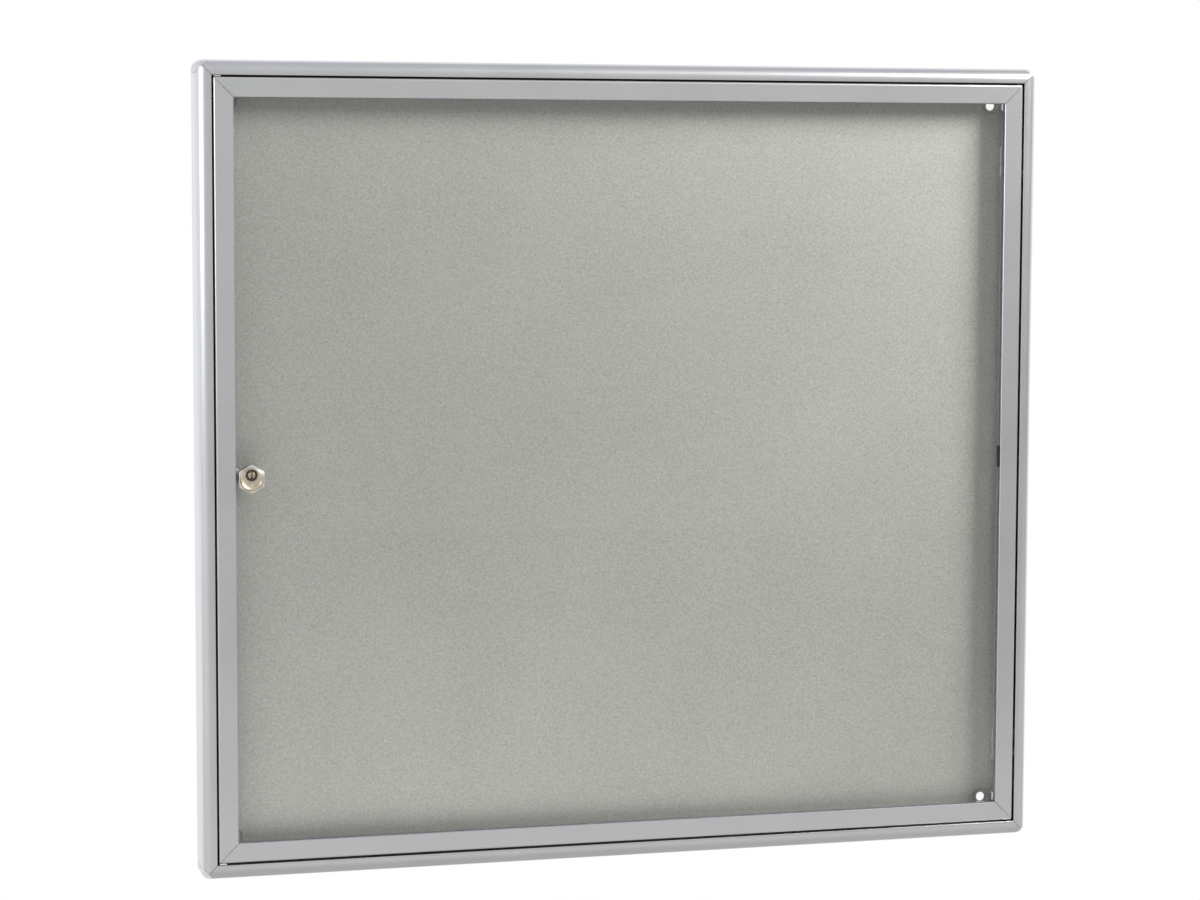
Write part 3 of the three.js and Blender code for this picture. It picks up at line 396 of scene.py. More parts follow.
@dataclass(frozen=True)
class Galvanised(Finish):
    """Zinc-coated sheet with a fine sparkling grain and faint clouds."""

    light: Colour = (0.51, 0.51, 0.475)
    dark: Colour = (0.31, 0.31, 0.285)

    def fill(self, mix: Recipe) -> bpy.types.Material:
        """Makes crystal grains of about a millimetre, specks of two sizes and broad clouds.

        Args:
            mix: The material's empty recipe.

        Returns:
            The material.
        """
        here = mix.place()
        grains = {"Vector": here, "Scale": 1150.0, "Randomness": 1.0}
        cells = mix.node("TexVoronoi", grains, "Color", feature="F1")
        spangle = mix.node("SeparateColor", {"Color": cells}, "Red")
        specks = mix.noise(here, 900.0, 3.0, 0.65)
        drops = mix.noise(here, 400.0, 2.0, 0.6)
        clouds = mix.noise(here, 9.0, 2.0, 0.5)
        tone = spangle * 0.28 + specks * 0.34 + drops * 0.26 + clouds * 0.12
        return mix.surface({
            "Base Color": mix.blend(tone.ramp(0.2, 0.8), self.dark, self.light),
            "Metallic": 0.3,
            "Roughness": 0.55 + (specks - 0.5) * 0.16 + (clouds - 0.5) * 0.05,
            "Normal": mix.bump(spangle * 0.4 + specks * 0.6, 0.00006, 0.5),
        })


@dataclass(frozen=True)
class ClearSheet(Finish):
    """A clear pane: it lets light straight through and mirrors more at a shallow angle."""

    tint: Colour = (0.98, 0.98, 0.975)
    mirrored: float = 0.04  # share that is mirrored where the pane is seen face on

    def fill(self, mix: Recipe) -> bpy.types.Material:
        """Mixes a clear and a mirroring surface by the angle of view.

        Args:
            mix: The material's empty recipe.

        Returns:
            The material.
        """
        smears = mix.noise(mix.place((1.0, 1.0, 0.6)), 12.0, 3.0, 0.5)
        clear = mix.node("BsdfTransparent", {"Color": (*self.tint, 1.0)})
        mirror = mix.node("BsdfPrincipled", {
            "Base Color": (1.0, 1.0, 1.0, 1.0),
            "Metallic": 1.0,
            "Roughness": 0.02 + smears.ramp(0.55, 0.75) * 0.06,
        })
        facing = mix.node("LayerWeight", {"Blend": 0.5}, "Facing")
        share = facing ** 5.0 * (1.0 - self.mirrored) + self.mirrored
        return mix.output(mix.node("MixShader", {0: share, 1: clear, 2: mirror}))


@dataclass(frozen=True)
class SoftRubber(Finish):
    """Rubber or plastic with a faint bloom."""

    light: Colour = (0.06, 0.06, 0.063)  # under the bloom
    dark: Colour = (0.025, 0.025, 0.027)
    rough: float = 0.62

    def fill(self, mix: Recipe) -> bpy.types.Material:
        """Makes a dusty bloom and a fine uneven skin.

        Args:
            mix: The material's empty recipe.

        Returns:
            The material.
        """
        bloom = mix.noise(mix.place(), 160.0, 4.0, 0.6)
        skin = mix.noise(mix.place(), 2400.0, 2.0)
        return mix.surface({
            "Base Color": mix.blend(bloom.ramp(0.35, 0.7), self.dark, self.light),
            "Roughness": self.rough + (bloom - 0.5) * 0.25,
            "Specular IOR Level": 0.35,
            "Normal": mix.bump(skin, 0.00004, 0.4),
        })


@dataclass(frozen=True)
class Plated(Finish):
    """Plated or bare metal of small fittings: clouded tone, light scratches and handling marks."""

    light: Colour = (0.78, 0.79, 0.79)
    dark: Colour = (0.56, 0.57, 0.57)  # where the metal is dull
    rough: float = 0.24
    # painted shade: a dark ring in the recess round a plug, given by its middle across and up and
    # its inner and outer radius
    recess_shade_ring: tuple[float, ...] = ()  # a ring's middle across and up, and its inner and outer radius

    def with_recess_shade(self, mix: Recipe, bare_colour: Signal) -> Signal:
        """Darkens the ring of painted shade in the recess round the plug, if there is one.

        Args:
            mix: The material's recipe.
            bare_colour: The colour of the metal without the painted shade.

        Returns:
            The colour with its painted shade.
        """
        if not self.recess_shade_ring:
            return bare_colour
        across, up, inner, outer = self.recess_shade_ring
        reach = mix.length(mix.place((1.0, 0.0, 1.0), (across, 0.0, up)))
        share = reach.ramp(inner, inner + 0.0003) * (1.0 - reach.ramp(outer - 0.0003, outer))
        patchy = mix.noise(mix.place(), 900.0, 3.0)
        # painted shade: patchy near-black brown where the recess round the plug lies in shade
        return mix.blend(share * (0.75 + patchy * 0.25), bare_colour, (0.045, 0.03, 0.028))

    def fill(self, mix: Recipe) -> bpy.types.Material:
        """Makes clouds, fine scratches, a slight unevenness and any ring of painted shade.

        Args:
            mix: The material's empty recipe.

        Returns:
            The material.
        """
        clouds = mix.noise(mix.place(), 260.0, 4.0, 0.6)
        scratches = mix.noise(mix.place((1.0, 1.0, 0.08)), 5000.0, 2.0, 0.7)
        worn = (clouds * 0.7 + scratches * 0.3).ramp(0.35, 0.65)
        return mix.surface({
            "Base Color": self.with_recess_shade(mix, mix.blend(worn, self.dark, self.light)),
            "Metallic": 1.0,
            "Roughness": self.rough + (1.0 - worn) * 0.18,
            "Normal": mix.bump(scratches, 0.00001, 0.3),
        })


RAIL_FINISH = Anodised("anodised_across", "anodised_aluminium")
STILE_FINISH = Anodised("anodised_upright", "anodised_aluminium", Grain.UPRIGHT, 0.3616)
CORNER_FINISH = SilverCoat("silver_corner_coat", "silver_corner")
PANEL_FINISH = Galvanised("galvanised_sheet", "galvanised_steel")
PANE_FINISH = ClearSheet("clear_pane_sheet", "clear_pane")
GASKET_FINISH = SoftRubber(
    "grey_gasket_rubber", "grey_gasket", (0.30, 0.31, 0.34), (0.20, 0.21, 0.235)
)
SEAL_FINISH = SoftRubber("black_seal_rubber", "black_rubber")
CLIP_FINISH = SoftRubber(
    "black_clip_plastic", "black_plastic", (0.035, 0.035, 0.037), (0.02, 0.02, 0.021)
)
PAD_FINISH = SoftRubber("pale_pad_nylon", "pale_nylon", (0.82, 0.82, 0.81), (0.72, 0.72, 0.71), 0.3)
ZINC_FINISH = Plated("bright_zinc", "zinc_plate")
# painted highlight: a lighter copy of the zinc plate for the door leaves, so the bevelled free end
# of a leaf behind the pane shows as a bright line
LEAF_FINISH = Plated(
    "zinc_leaf_painted_highlight", "zinc_plate", (0.96, 0.96, 0.96), (0.88, 0.88, 0.88), 0.22
)
NICKEL_FINISH = Plated(
    "bright_nickel", "nickel_plate", (0.93, 0.91, 0.86), (0.72, 0.68, 0.60), 0.14
)
BRASS_FINISH = Plated(
    "dull_nickelled_brass", "brass", (0.78, 0.70, 0.55), (0.52, 0.44, 0.33), 0.30
)
# the plug's brass, with a ring of painted shade in the recess round its keyway guard
PLUG_FINISH = Plated(
    "plug_brass_painted_recess_shade", "brass", (0.80, 0.73, 0.60), (0.55, 0.47, 0.36), 0.22,
    (-0.3312, -0.0011, 0.0027, 0.0053),
)


STAYING = {
    "pane_gasket": GASKET_FINISH, "pane": PANE_FINISH, "door_seal": SEAL_FINISH,
    "door_cleat": ZINC_FINISH, "glazing_clip": CLIP_FINISH,
}  # finishes of the CAD nodes that stay, by how their names start


def finish_of(node: str) -> Finish:
    """Gives the finish of a CAD node that stays, zinc where its name starts with no listed word."""
    matching = (finish for start, finish in STAYING.items() if node.startswith(start))
    return next(matching, ZINC_FINISH)


# Modelling steps


class Bench:
    """Modelling steps with Blender's operators, each on one piece at a time."""

    @staticmethod
    def clear() -> None:
        """Leaves edit mode and deselects everything."""
        Bench.mode("OBJECT")
        bpy.ops.object.select_all(action="DESELECT")

    @staticmethod
    def mode(word: str) -> None:
        """Changes to object or edit mode, unless there is no active piece."""
        if bpy.context.object and bpy.context.object.mode != word:
            bpy.ops.object.mode_set(mode=word)

    @classmethod
    def take(cls, piece: Piece) -> None:
        """Makes a piece the only selected one and the active one."""
        cls.clear()
        piece.select_set(True)
        bpy.context.view_layer.objects.active = piece

    @classmethod
    def edit(cls, piece: Piece) -> None:
        """Opens a piece in edit mode with all of it selected.

        Args:
            piece: The piece.
        """
        cls.take(piece)
        cls.mode("EDIT")
        bpy.ops.mesh.select_mode(type="VERT")
        bpy.ops.mesh.select_all(action="SELECT")

    @classmethod
    def close(cls) -> None:
        """Turns the open piece's faces outward and leaves it."""
        bpy.ops.mesh.select_all(action="SELECT")
        bpy.ops.mesh.normals_make_consistent(inside=False)
        cls.clear()

    @classmethod
    def pick_edges(cls, piece: Piece, wanted: Callable[[bpy.types.MeshEdge], bool]) -> None:
        """Selects some edges of an open piece.

        Args:
            piece: The piece.
            wanted: Tells whether an edge is selected.
        """
        bpy.ops.mesh.select_all(action="DESELECT")
        cls.mode("OBJECT")
        for edge in piece.data.edges:
            edge.select = wanted(edge)
        cls.mode("EDIT")
        bpy.ops.mesh.select_mode(type="EDGE")

    @classmethod
    def face(cls, points: Iterable[Sequence[float]], fill: str = "NGON") -> Piece:
        """Adds a circle and sets its points one by one, which gives a flat outline.

        Args:
            points: The outline's corners in order.
            fill: NGON for a face or NOTHING for a loop of edges.

        Returns:
            The new piece.
        """
        corners = [Vector(point) for point in points]
        cls.clear()
        bpy.ops.mesh.primitive_circle_add(vertices=len(corners), radius=1.0, fill_type=fill)
        piece = bpy.context.object
        for vertex, corner in zip(piece.data.vertices, corners):
            vertex.co = corner
        return piece

    @classmethod
    def prism(cls, points: Iterable[Sequence[float]], depth: Sequence[float]) -> Piece:
        """Extrudes a flat outline.

        Args:
            points: The outline's corners in order.
            depth: The way and distance of the extrusion.

        Returns:
            The closed piece.
        """
        piece = cls.face(points)
        cls.edit(piece)
        bpy.ops.mesh.extrude_region_move(TRANSFORM_OT_translate={"value": depth})
        cls.close()
        return piece

    @classmethod
    def turned(cls, profile: Sequence[Point2], steps: int, ring: bool = False) -> Piece:
        """Spins a profile about the Y axis.

        Args:
            profile: Radii and distances forward from the wall, from axis to axis or round a ring.
            steps: Number of steps round.
            ring: Whether the profile is closed on itself, off the axis.

        Returns:
            The closed piece.
        """
        piece = cls.face(((radius, -forward, 0.0) for radius, forward in profile), "NOTHING")
        cls.edit(piece)
        if not ring:
            ends = {0, len(profile) - 1}
            cls.pick_edges(piece, lambda edge: set(edge.vertices) == ends)
            bpy.ops.mesh.delete(type="EDGE_FACE")
            bpy.ops.mesh.select_mode(type="VERT")
            bpy.ops.mesh.select_all(action="SELECT")
        bpy.ops.mesh.spin(steps=steps, angle=4 * QUARTER, center=(0, 0, 0), axis=(0, 1, 0))
        bpy.ops.mesh.select_all(action="SELECT")
        bpy.ops.mesh.remove_doubles(threshold=1e-6)
        cls.close()
        return piece

    @classmethod
    def halve(cls, piece: Piece, point: Sequence[float], normal: Sequence[float]) -> None:
        """Cuts away what lies on a plane's positive side and closes the cut.

        Args:
            piece: The piece to cut.
            point: A point of the plane.
            normal: The plane's normal, towards what is removed.
        """
        cls.edit(piece)
        bpy.ops.mesh.bisect(plane_co=point, plane_no=normal, use_fill=True, clear_outer=True)
        cls.clear()

    @classmethod
    def boolean(cls, piece: Piece, tool: Piece, operation: str) -> None:
        """Joins or cuts a piece with another, which is used up.

        Args:
            piece: The piece that stays.
            tool: The piece that is used up.
            operation: DIFFERENCE, UNION or INTERSECT.
        """
        cls.take(piece)
        step = piece.modifiers.new("shape", "BOOLEAN")
        step.operation = operation
        step.solver = "EXACT"
        step.object = tool
        bpy.ops.object.modifier_apply(modifier=step.name)
        bpy.data.objects.remove(tool)

    @classmethod
    def cut(cls, piece: Piece, *tools: Piece) -> None:
        """Cuts a piece with tools, which are used up."""
        for tool in tools:
            cls.boolean(piece, tool, "DIFFERENCE")

    @classmethod
    def join(cls, piece: Piece, *others: Piece) -> None:
        """Joins others to a piece, which are used up."""
        for other in others:
            cls.boolean(piece, other, "UNION")

    @classmethod
    def soften(cls, piece: Piece, width: float) -> None:
        """Rounds a piece's sharp edges in two steps.

        Args:
            piece: The piece.
            width: The rounding's width.
        """
        cls.take(piece)
        step = piece.modifiers.new("round", "BEVEL")
        step.width = width
        step.segments = 2
        step.angle_limit = math.radians(40.0)
        step.use_clamp_overlap = True
        bpy.ops.object.modifier_apply(modifier=step.name)

    @classmethod
    def bevel(
        cls, piece: Piece, width: float, segments: int, chosen: Callable[[Vector, Vector], bool]
    ) -> None:
        """Bevels or rounds some edges of a piece.

        Args:
            piece: The piece.
            width: The bevel's width.
            segments: Faces across it.
            chosen: Tells from an edge's ends whether it's bevelled.
        """
        cls.edit(piece)
        cls.pick_edges(piece, lambda edge: chosen(
            *(piece.data.vertices[index].co for index in edge.vertices)
        ))
        bpy.ops.mesh.bevel(offset=width, segments=segments, affect="EDGES")
        cls.clear()

    @classmethod
    def copy(cls, piece: Piece, matrix: Matrix) -> Piece:
        """Copies a piece with its own mesh and carries the copy to its place.

        Args:
            piece: The pattern.
            matrix: Where the copy goes.

        Returns:
            The copy.
        """
        twin = piece.copy()
        twin.data = piece.data.copy()
        bpy.context.scene.collection.objects.link(twin)
        twin.data.transform(matrix)
        return twin

    @classmethod
    def done(
        cls, piece: Piece, name: str, finish: Finish, body: str, nodes: Sequence[str],
        matrix: Matrix | None = None, smooth: float = 32.0,
    ) -> None:
        """Places, names, shades and dresses a finished piece, and fixes it to its body.

        Args:
            piece: The piece.
            name: Its final name.
            finish: Its finish.
            body: The CAD body that it rides on.
            nodes: The CAD nodes that it stands for.
            matrix: Where it goes, if it isn't there yet.
            smooth: The angle in degrees under which edges are shaded smooth.
        """
        if matrix is not None:
            piece.data.transform(matrix)
        cls.edit(piece)
        bpy.ops.mesh.remove_doubles(threshold=2e-7)
        bpy.ops.mesh.dissolve_degenerate(threshold=1e-7)
        cls.close()
        cls.take(piece)
        bpy.ops.object.shade_smooth_by_angle(angle=math.radians(smooth))
        piece.name = piece.data.name = name
        piece.data.materials.clear()
        piece.data.materials.append(finish.material())
        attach(piece, body)
        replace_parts(piece, *nodes)
        LOG.info("made %s with %d faces", name, len(piece.data.polygons))


def arc(centre: Point2, radius: float, start: float, end: float, steps: int) -> list[Point2]:
    """Gives the points of an arc between two angles in degrees, both ends included."""
    angles = (math.radians(start + (end - start) * i / steps) for i in range(steps + 1))
    return [(centre[0] + radius * math.cos(a), centre[1] + radius * math.sin(a)) for a in angles]


def ring(centre: Point2, radius: float, steps: int) -> list[Point2]:
    """Gives the points of a circle."""
    return arc(centre, radius, 0.0, 360.0 * (steps - 1) / steps, steps - 1)


def rounded_box(low: Point2, high: Point2, radius: float, steps: int = 4) -> list[Point2]:
    """Gives the outline of a rectangle with round corners.

    Args:
        low: The lowest corner.
        high: The highest corner.
        radius: The corners' radius.
        steps: Steps in each corner.

    Returns:
        The points in order.
    """
    points: list[Point2] = []
    left, right = low[0] + radius, high[0] - radius
    lower, upper = low[1] + radius, high[1] - radius
    middles = ((right, lower), (right, upper), (left, upper), (left, lower))
    for middle, start in zip(middles, (-90.0, 0.0, 90.0, 180.0)):
        points += arc(middle, radius, start, start + 90.0, steps)
    return points


def bar(section: Sequence[Point2], start: float, end: float) -> Piece:
    """Runs a section of a bottom side, inward and forward, along X from start to end."""
    points = [(start, -forward, inward) for inward, forward in section]
    return Bench.prism(points, (end - start, 0.0, 0.0))


def plate(shape: Sequence[Point2], rear: float, thickness: float) -> Piece:
    """Gives an outline in X and Z a thickness forward from a distance in front of the wall."""
    return Bench.prism([(x, -rear, z) for x, z in shape], (0.0, -thickness, 0.0))


def through(shape: Sequence[Point2], rear: float, front: float) -> Piece:
    """Makes a cutting tool of an outline in X and Z that passes from a rear to a front face."""
    return plate(shape, rear - OVERRUN, front - rear + 2 * OVERRUN)


def drill(x: float, z: float, radius: float, rear: float, front: float, steps: int = 32) -> Piece:
    """Makes a round cutting tool through from a rear to a front face."""
    return through(ring((x, z), radius, steps), rear, front)


def peg(x: float, forward: float, radius: float, start: float, end: float) -> Piece:
    """Makes a round peg or cutting tool that runs inward from start to end."""
    points = [(a, b, start) for a, b in ring((x, -forward), radius, 24)]
    return Bench.prism(points, (0.0, 0.0, end - start))


# Case


class Profiles:
    """What the four mitred profiles of the case and of the door share.

    Attributes:
        body: The CAD body, which is also the first word of the nodes' names.
        outline: The frame's outer size.
    """

    body: ClassVar[str]
    outline: ClassVar[Outline]

    def section(self) -> list[Point2]:
        """Draws the profile's outline, inward and forward."""
        raise NotImplementedError

    def ends(self) -> Sequence[Point2]:
        """Gives each end's cuts, as how far from the corner they start and their lean."""
        raise NotImplementedError

    def tools(self, side: Side, half: float) -> list[Piece]:
        """Makes what is cut out of a side's profile, by half of its length."""
        raise NotImplementedError

    def profile(self, side: Side) -> Piece:
        """Cuts one profile to length, mitres it and makes its hollow and holes.

        Args:
            side: The side of the frame.

        Returns:
            The profile, still at the bottom side's place.
        """
        half = self.outline.length(side) / 2
        piece = bar(self.section(), -half, half)
        for end in (-1, 1):
            for start, lean in self.ends():
                Bench.halve(piece, (end * (half - start), 0.0, 0.0), (end, 0.0, lean))
        Bench.cut(piece, *self.tools(side, half))
        return piece

    def build(self) -> None:
        """Makes and dresses the four profiles."""
        for side in Side:
            kind, finish = ("stile", STILE_FINISH) if side.upright else ("rail", RAIL_FINISH)
            name = f"{self.body}_profile_{side.word}"
            nodes = [f"{self.body}_{kind}_{side.word}"]
            matrix = self.outline.placed(side)
            Bench.done(self.profile(side), name, finish, self.body, nodes, matrix)


@dataclass
class CaseProfiles(Profiles):
    """The four mitred profiles of the case."""

    body: ClassVar[str] = "case"
    outline: ClassVar[Outline] = CASE

    wall: float = 0.0016
    depth: float = 0.030  # from the wall to the front
    edge_radius: float = 0.010  # of the rounded outer edge
    ease: float = 0.0003  # radius of small edges
    lip_reach: float = 0.0127  # inner edge of the lip round the door
    stop_reach: float = 0.023  # inner edge of the door stop
    stop_rear: float = 0.016
    stop_face: float = 0.0175
    chamber_reach: float = 0.016  # inner edge of the rear chamber
    chamber_depth: float = 0.0088  # up to the panel's slot
    slot_reach: float = 0.005  # bottom of the panel's slot
    slot_front: float = 0.0102
    slot_lip: float = 0.0114  # front of the lip before the panel
    joint: float = 0.00045  # gap at a mitre, wide enough to show as a fine dark line
    corner_cut: float = 0.0112  # where a corner piece ends along either side
    hinge_screws: tuple[float, ...] = (-0.2714, -0.2534, 0.2534, 0.2714)
    hinge_screw_inset: float = 0.0095
    keeper_screws: tuple[float, ...] = (-0.0095, 0.0185)
    keeper_screw_inset: float = 0.011

    def section(self) -> list[Point2]:
        """Draws the profile's outline with its lips, stop and slot.

        Returns:
            Distances inward and forward.
        """
        ease, inner = self.ease, self.depth - self.wall
        middle = (self.edge_radius, self.depth - self.edge_radius)
        lip = arc((self.lip_reach - ease, self.depth - ease), ease, 90.0, 0.0, 3)
        lip += arc((self.lip_reach - ease, inner + ease), ease, 0.0, -90.0, 3)
        return [
            (ease, 0.0), (0.0, ease), *arc(middle, self.edge_radius, 180.0, 90.0, 22), *lip,
            *arc(middle, self.edge_radius - self.wall, 90.0, 180.0, 12),
            (self.wall, self.stop_face), (self.stop_reach, self.stop_face),
            (self.stop_reach, self.stop_rear), (self.wall, self.stop_rear),
            (self.wall, self.slot_lip), (self.chamber_reach, self.slot_lip),
            (self.chamber_reach, self.slot_front), (self.slot_reach, self.slot_front),
            (self.slot_reach, self.chamber_depth), (self.chamber_reach, self.chamber_depth),
            (self.chamber_reach, ease), (self.chamber_reach - ease, 0.0),
        ]

    def ends(self) -> Sequence[Point2]:
        """Gives the cuts at a mitre and along a corner piece."""
        return (self.joint / 2, 1.0), (self.corner_cut, -1.0)

    def tools(self, side: Side, half: float) -> list[Piece]:
        """Makes the chamber and the screws' holes.

        Args:
            side: The side of the frame.
            half: Half of its length.

        Returns:
            The tools.
        """
        high = (self.chamber_reach - self.wall, self.chamber_depth - self.wall)
        chamber = rounded_box((self.wall, self.wall), high, 0.0004, 2)
        places, inset = {
            Side.RIGHT: (self.hinge_screws, self.hinge_screw_inset),
            Side.LEFT: (self.keeper_screws, self.keeper_screw_inset),
        }.get(side, ((), 0.0))
        return [bar(chamber, -half - OVERRUN, half + OVERRUN)] + [
            drill(along, inset, SCREW_HOLE, self.stop_rear, self.stop_face, 20) for along in places
        ]


@dataclass
class CornerPieces:
    """The four rounded corner pieces, each with two legs in the profiles' chambers."""

    radius: float = 0.008  # of the corner seen from the front
    edge_radius: float = 0.010  # of the rounded edge seen in section
    depth: float = 0.030
    reach: float = 0.01095  # where the cap ends along either side
    leg: float = 0.045
    near: float = 0.0019  # outer face of a leg, also its rear face
    far: float = 0.0141  # inner face of a leg
    leg_front: float = 0.0069

    def edge(self) -> list[Point2]:
        """Draws the case's outer edge in section, up to the corner's radius.

        Returns:
            Distances inward and forward.
        """
        middle = (self.edge_radius, self.depth - self.edge_radius)
        last = math.degrees(math.acos((self.edge_radius - self.radius) / self.edge_radius))
        curve = arc(middle, self.edge_radius, 180.0, 180.0 - last, 18)
        return [(self.radius, 0.0), (0.0, 0.0), *curve]

    def cap(self) -> Piece:
        """Turns the edge round the corner and lengthens it a little on both sides.

        Returns:
            The cap.
        """
        dome = Bench.turned([(self.radius - inward, ahead) for inward, ahead in self.edge()], 96)
        middle = (self.radius, 0.0, self.radius)
        dome.data.transform(Matrix.Translation(middle))
        for normal in ((1.0, 0.0, 0.0), (0.0, 0.0, 1.0)):
            Bench.halve(dome, middle, normal)
        along = bar(self.edge(), self.radius, self.reach + OVERRUN)
        swap = Matrix(((0, 0, 1, 0), (0, 1, 0, 0), (1, 0, 0, 0), (0, 0, 0, 1)))
        twin = Bench.copy(along, swap)
        Bench.edit(twin)
        Bench.close()
        Bench.join(dome, along, twin)
        Bench.halve(dome, (self.reach, 0.0, 0.0), (1.0, 0.0, 1.0))
        return dome

    def legs(self) -> Piece:
        """Makes the L of both legs, with the outer corner cut off.

        Returns:
            The legs.
        """
        short = self.radius - self.near
        shape = [
            (self.near, short), (short, self.near), (self.leg, self.near), (self.leg, self.far),
            (self.far, self.far), (self.far, self.leg), (self.near, self.leg),
        ]
        return plate(shape, self.near, self.leg_front - self.near)

    def build(self) -> None:
        """Makes one corner piece and copies it to all corners."""
        pattern = self.cap()
        Bench.join(pattern, self.legs())
        for corner in Corner:
            piece = Bench.copy(pattern, CASE.placed(corner))
            name, nodes = f"corner_piece_{corner.word}", [f"corner_connector_{corner.word}"]
            Bench.done(piece, name, CORNER_FINISH, "case", nodes, smooth=28.0)
        bpy.data.objects.remove(pattern)


@dataclass
class Panel:
    """The zinc-coated sheet, with a pressed seat round each fixing hole."""

    half_width: float = 0.369
    half_height: float = 0.339
    rear: float = 0.009
    thickness: float = 0.001
    hole_x: float = 0.3379  # from the middle to the holes beside the hinges
    far_hole_x: float = 0.3455  # to the holes beside the lock, behind the door's profile
    hole_z: float = 0.3124
    hole_radius: float = 0.004
    flat_radius: float = 0.0065  # of a seat's flat bottom
    rim_radius: float = 0.0079
    seat_depth: float = 0.0008

    def hole(self, corner: Corner) -> Point2:
        """Gives the place of a corner's hole, across and up."""
        across = self.hole_x if corner.across > 0 else -self.far_hole_x
        return across, corner.rise * self.hole_z

    def seat(self, level: float, outward: float, top: float | None = None) -> Piece:
        """Turns a seat's flat bottom and the smooth slope up to its rim.

        Args:
            level: Distance forward of the seat's bottom.
            outward: Extra radius of the whole slope.
            top: Distance forward up to which the rim is lengthened, if it is.

        Returns:
            The seat as a solid.
        """
        steps = 8
        slope = []
        for i in range(steps + 1):
            share = i / steps
            radius = self.flat_radius + (self.rim_radius - self.flat_radius) * share + outward
            slope.append((radius, level + self.seat_depth * (3 * share**2 - 2 * share**3)))
        if top is not None:
            slope.append((self.rim_radius, top))
        return Bench.turned([(0.0, level), *slope, (0.0, slope[-1][1])], 64)

    def build(self) -> None:
        """Makes the sheet, its seats and its holes."""
        high = (self.half_width, self.half_height)
        corners = rounded_box((-self.half_width, -self.half_height), high, 0.001, 3)
        sheet = plate(corners, self.rear, self.thickness)
        face = self.rear + self.thickness
        bottom = self.rear - self.seat_depth
        boss = self.seat(bottom, self.thickness / 2)
        dish = self.seat(face - self.seat_depth, 0.0, face + OVERRUN)
        for pattern, operation in ((boss, "UNION"), (dish, "DIFFERENCE")):
            for corner in Corner:
                across, up = self.hole(corner)
                place = Matrix.Translation((across, 0.0, up))
                Bench.boolean(sheet, Bench.copy(pattern, place), operation)
            bpy.data.objects.remove(pattern)
        for corner in Corner:
            Bench.cut(sheet, drill(*self.hole(corner), self.hole_radius, bottom, face, 48))
        Bench.done(sheet, "display_panel", PANEL_FINISH, "case", ["back_panel"])


# Door


@dataclass
class DoorProfiles(Profiles):
    """The four mitred profiles of the door."""

    body: ClassVar[str] = "door"
    outline: ClassVar[Outline] = DOOR

    rear: float = 0.021
    depth: float = 0.030  # front face, forward from the wall
    width: float = 0.0168
    wall: float = 0.0013
    edge_radius: float = 0.002
    bevel: float = 0.0005  # of the inner edge
    ease: float = 0.0002  # radius of small edges
    groove_back: float = 0.010  # bottom of the pane's groove
    groove_rear: float = 0.0246
    groove_front: float = 0.029
    joint: float = 0.0005  # gap at a mitre, wide enough to show as a fine dark line
    hinge_z: float = 0.2624
    slot_half: float = 0.0156  # half of a hinge slot's length
    slot_reach: float = 0.0044  # inner end of a hinge slot
    screw_z: float = 0.009  # from a hinge's middle
    screw_inset: float = 0.007
    peg_along: float = 0.3572  # a guide pad's peg, from the middle of its rail
    peg_forward: float = 0.0253
    peg_hole: float = 0.00115

    def section(self) -> list[Point2]:
        """Draws the profile's outline with the groove for the pane.

        Returns:
            Distances inward and forward.
        """
        ease = self.ease
        edge = self.depth - self.edge_radius
        flat = self.width - self.bevel
        return [
            (ease, self.rear), (0.0, self.rear + ease), (0.0, edge - ease),
            *arc((self.edge_radius, edge), self.edge_radius, 180.0, 90.0, 10),
            (self.edge_radius + ease, self.depth), (flat - ease * 2, self.depth),
            (flat - ease, self.depth), (flat + ease * 0.5, self.depth - ease * 0.4),
            (self.width - ease * 0.2, self.depth - self.bevel), (self.width, self.groove_front),
            (self.groove_back, self.groove_front), (self.groove_back, self.groove_rear),
            (self.width, self.groove_rear), (self.width, self.rear + ease),
            (self.width - ease, self.rear),
        ]

    def ends(self) -> Sequence[Point2]:
        """Gives the cut at a mitre."""
        return ((self.joint / 2, 1.0),)

    def tools(self, side: Side, half: float) -> list[Piece]:
        """Makes the hollow, the hinges' slots and holes, and the hole for a guide pad's peg.

        Args:
            side: The side of the frame.
            half: Half of its length.

        Returns:
            The tools.
        """
        low = (self.wall, self.rear + self.wall)
        high = (self.groove_back - self.wall, self.depth - self.wall)
        tools = [bar(rounded_box(low, high, 0.0004, 2), -half - OVERRUN, half + OVERRUN)]
        if side is Side.RIGHT:
            reach, start = self.slot_reach, self.rear - OVERRUN
            slot = [(-OVERRUN, start), (reach, start), (reach, high[1]), (-OVERRUN, high[1])]
            for hinge in (-self.hinge_z, self.hinge_z):
                tools.append(bar(slot, hinge - self.slot_half, hinge + self.slot_half))
                for screw in (-self.screw_z, self.screw_z):
                    place = (hinge + screw, self.screw_inset)
                    tools.append(drill(*place, SCREW_HOLE, self.rear, low[1], 20))
        if not side.upright:
            along, end = self.peg_along * side.rise, self.wall + 0.0001
            tools.append(peg(along, self.peg_forward, self.peg_hole, -OVERRUN, end))
        return tools


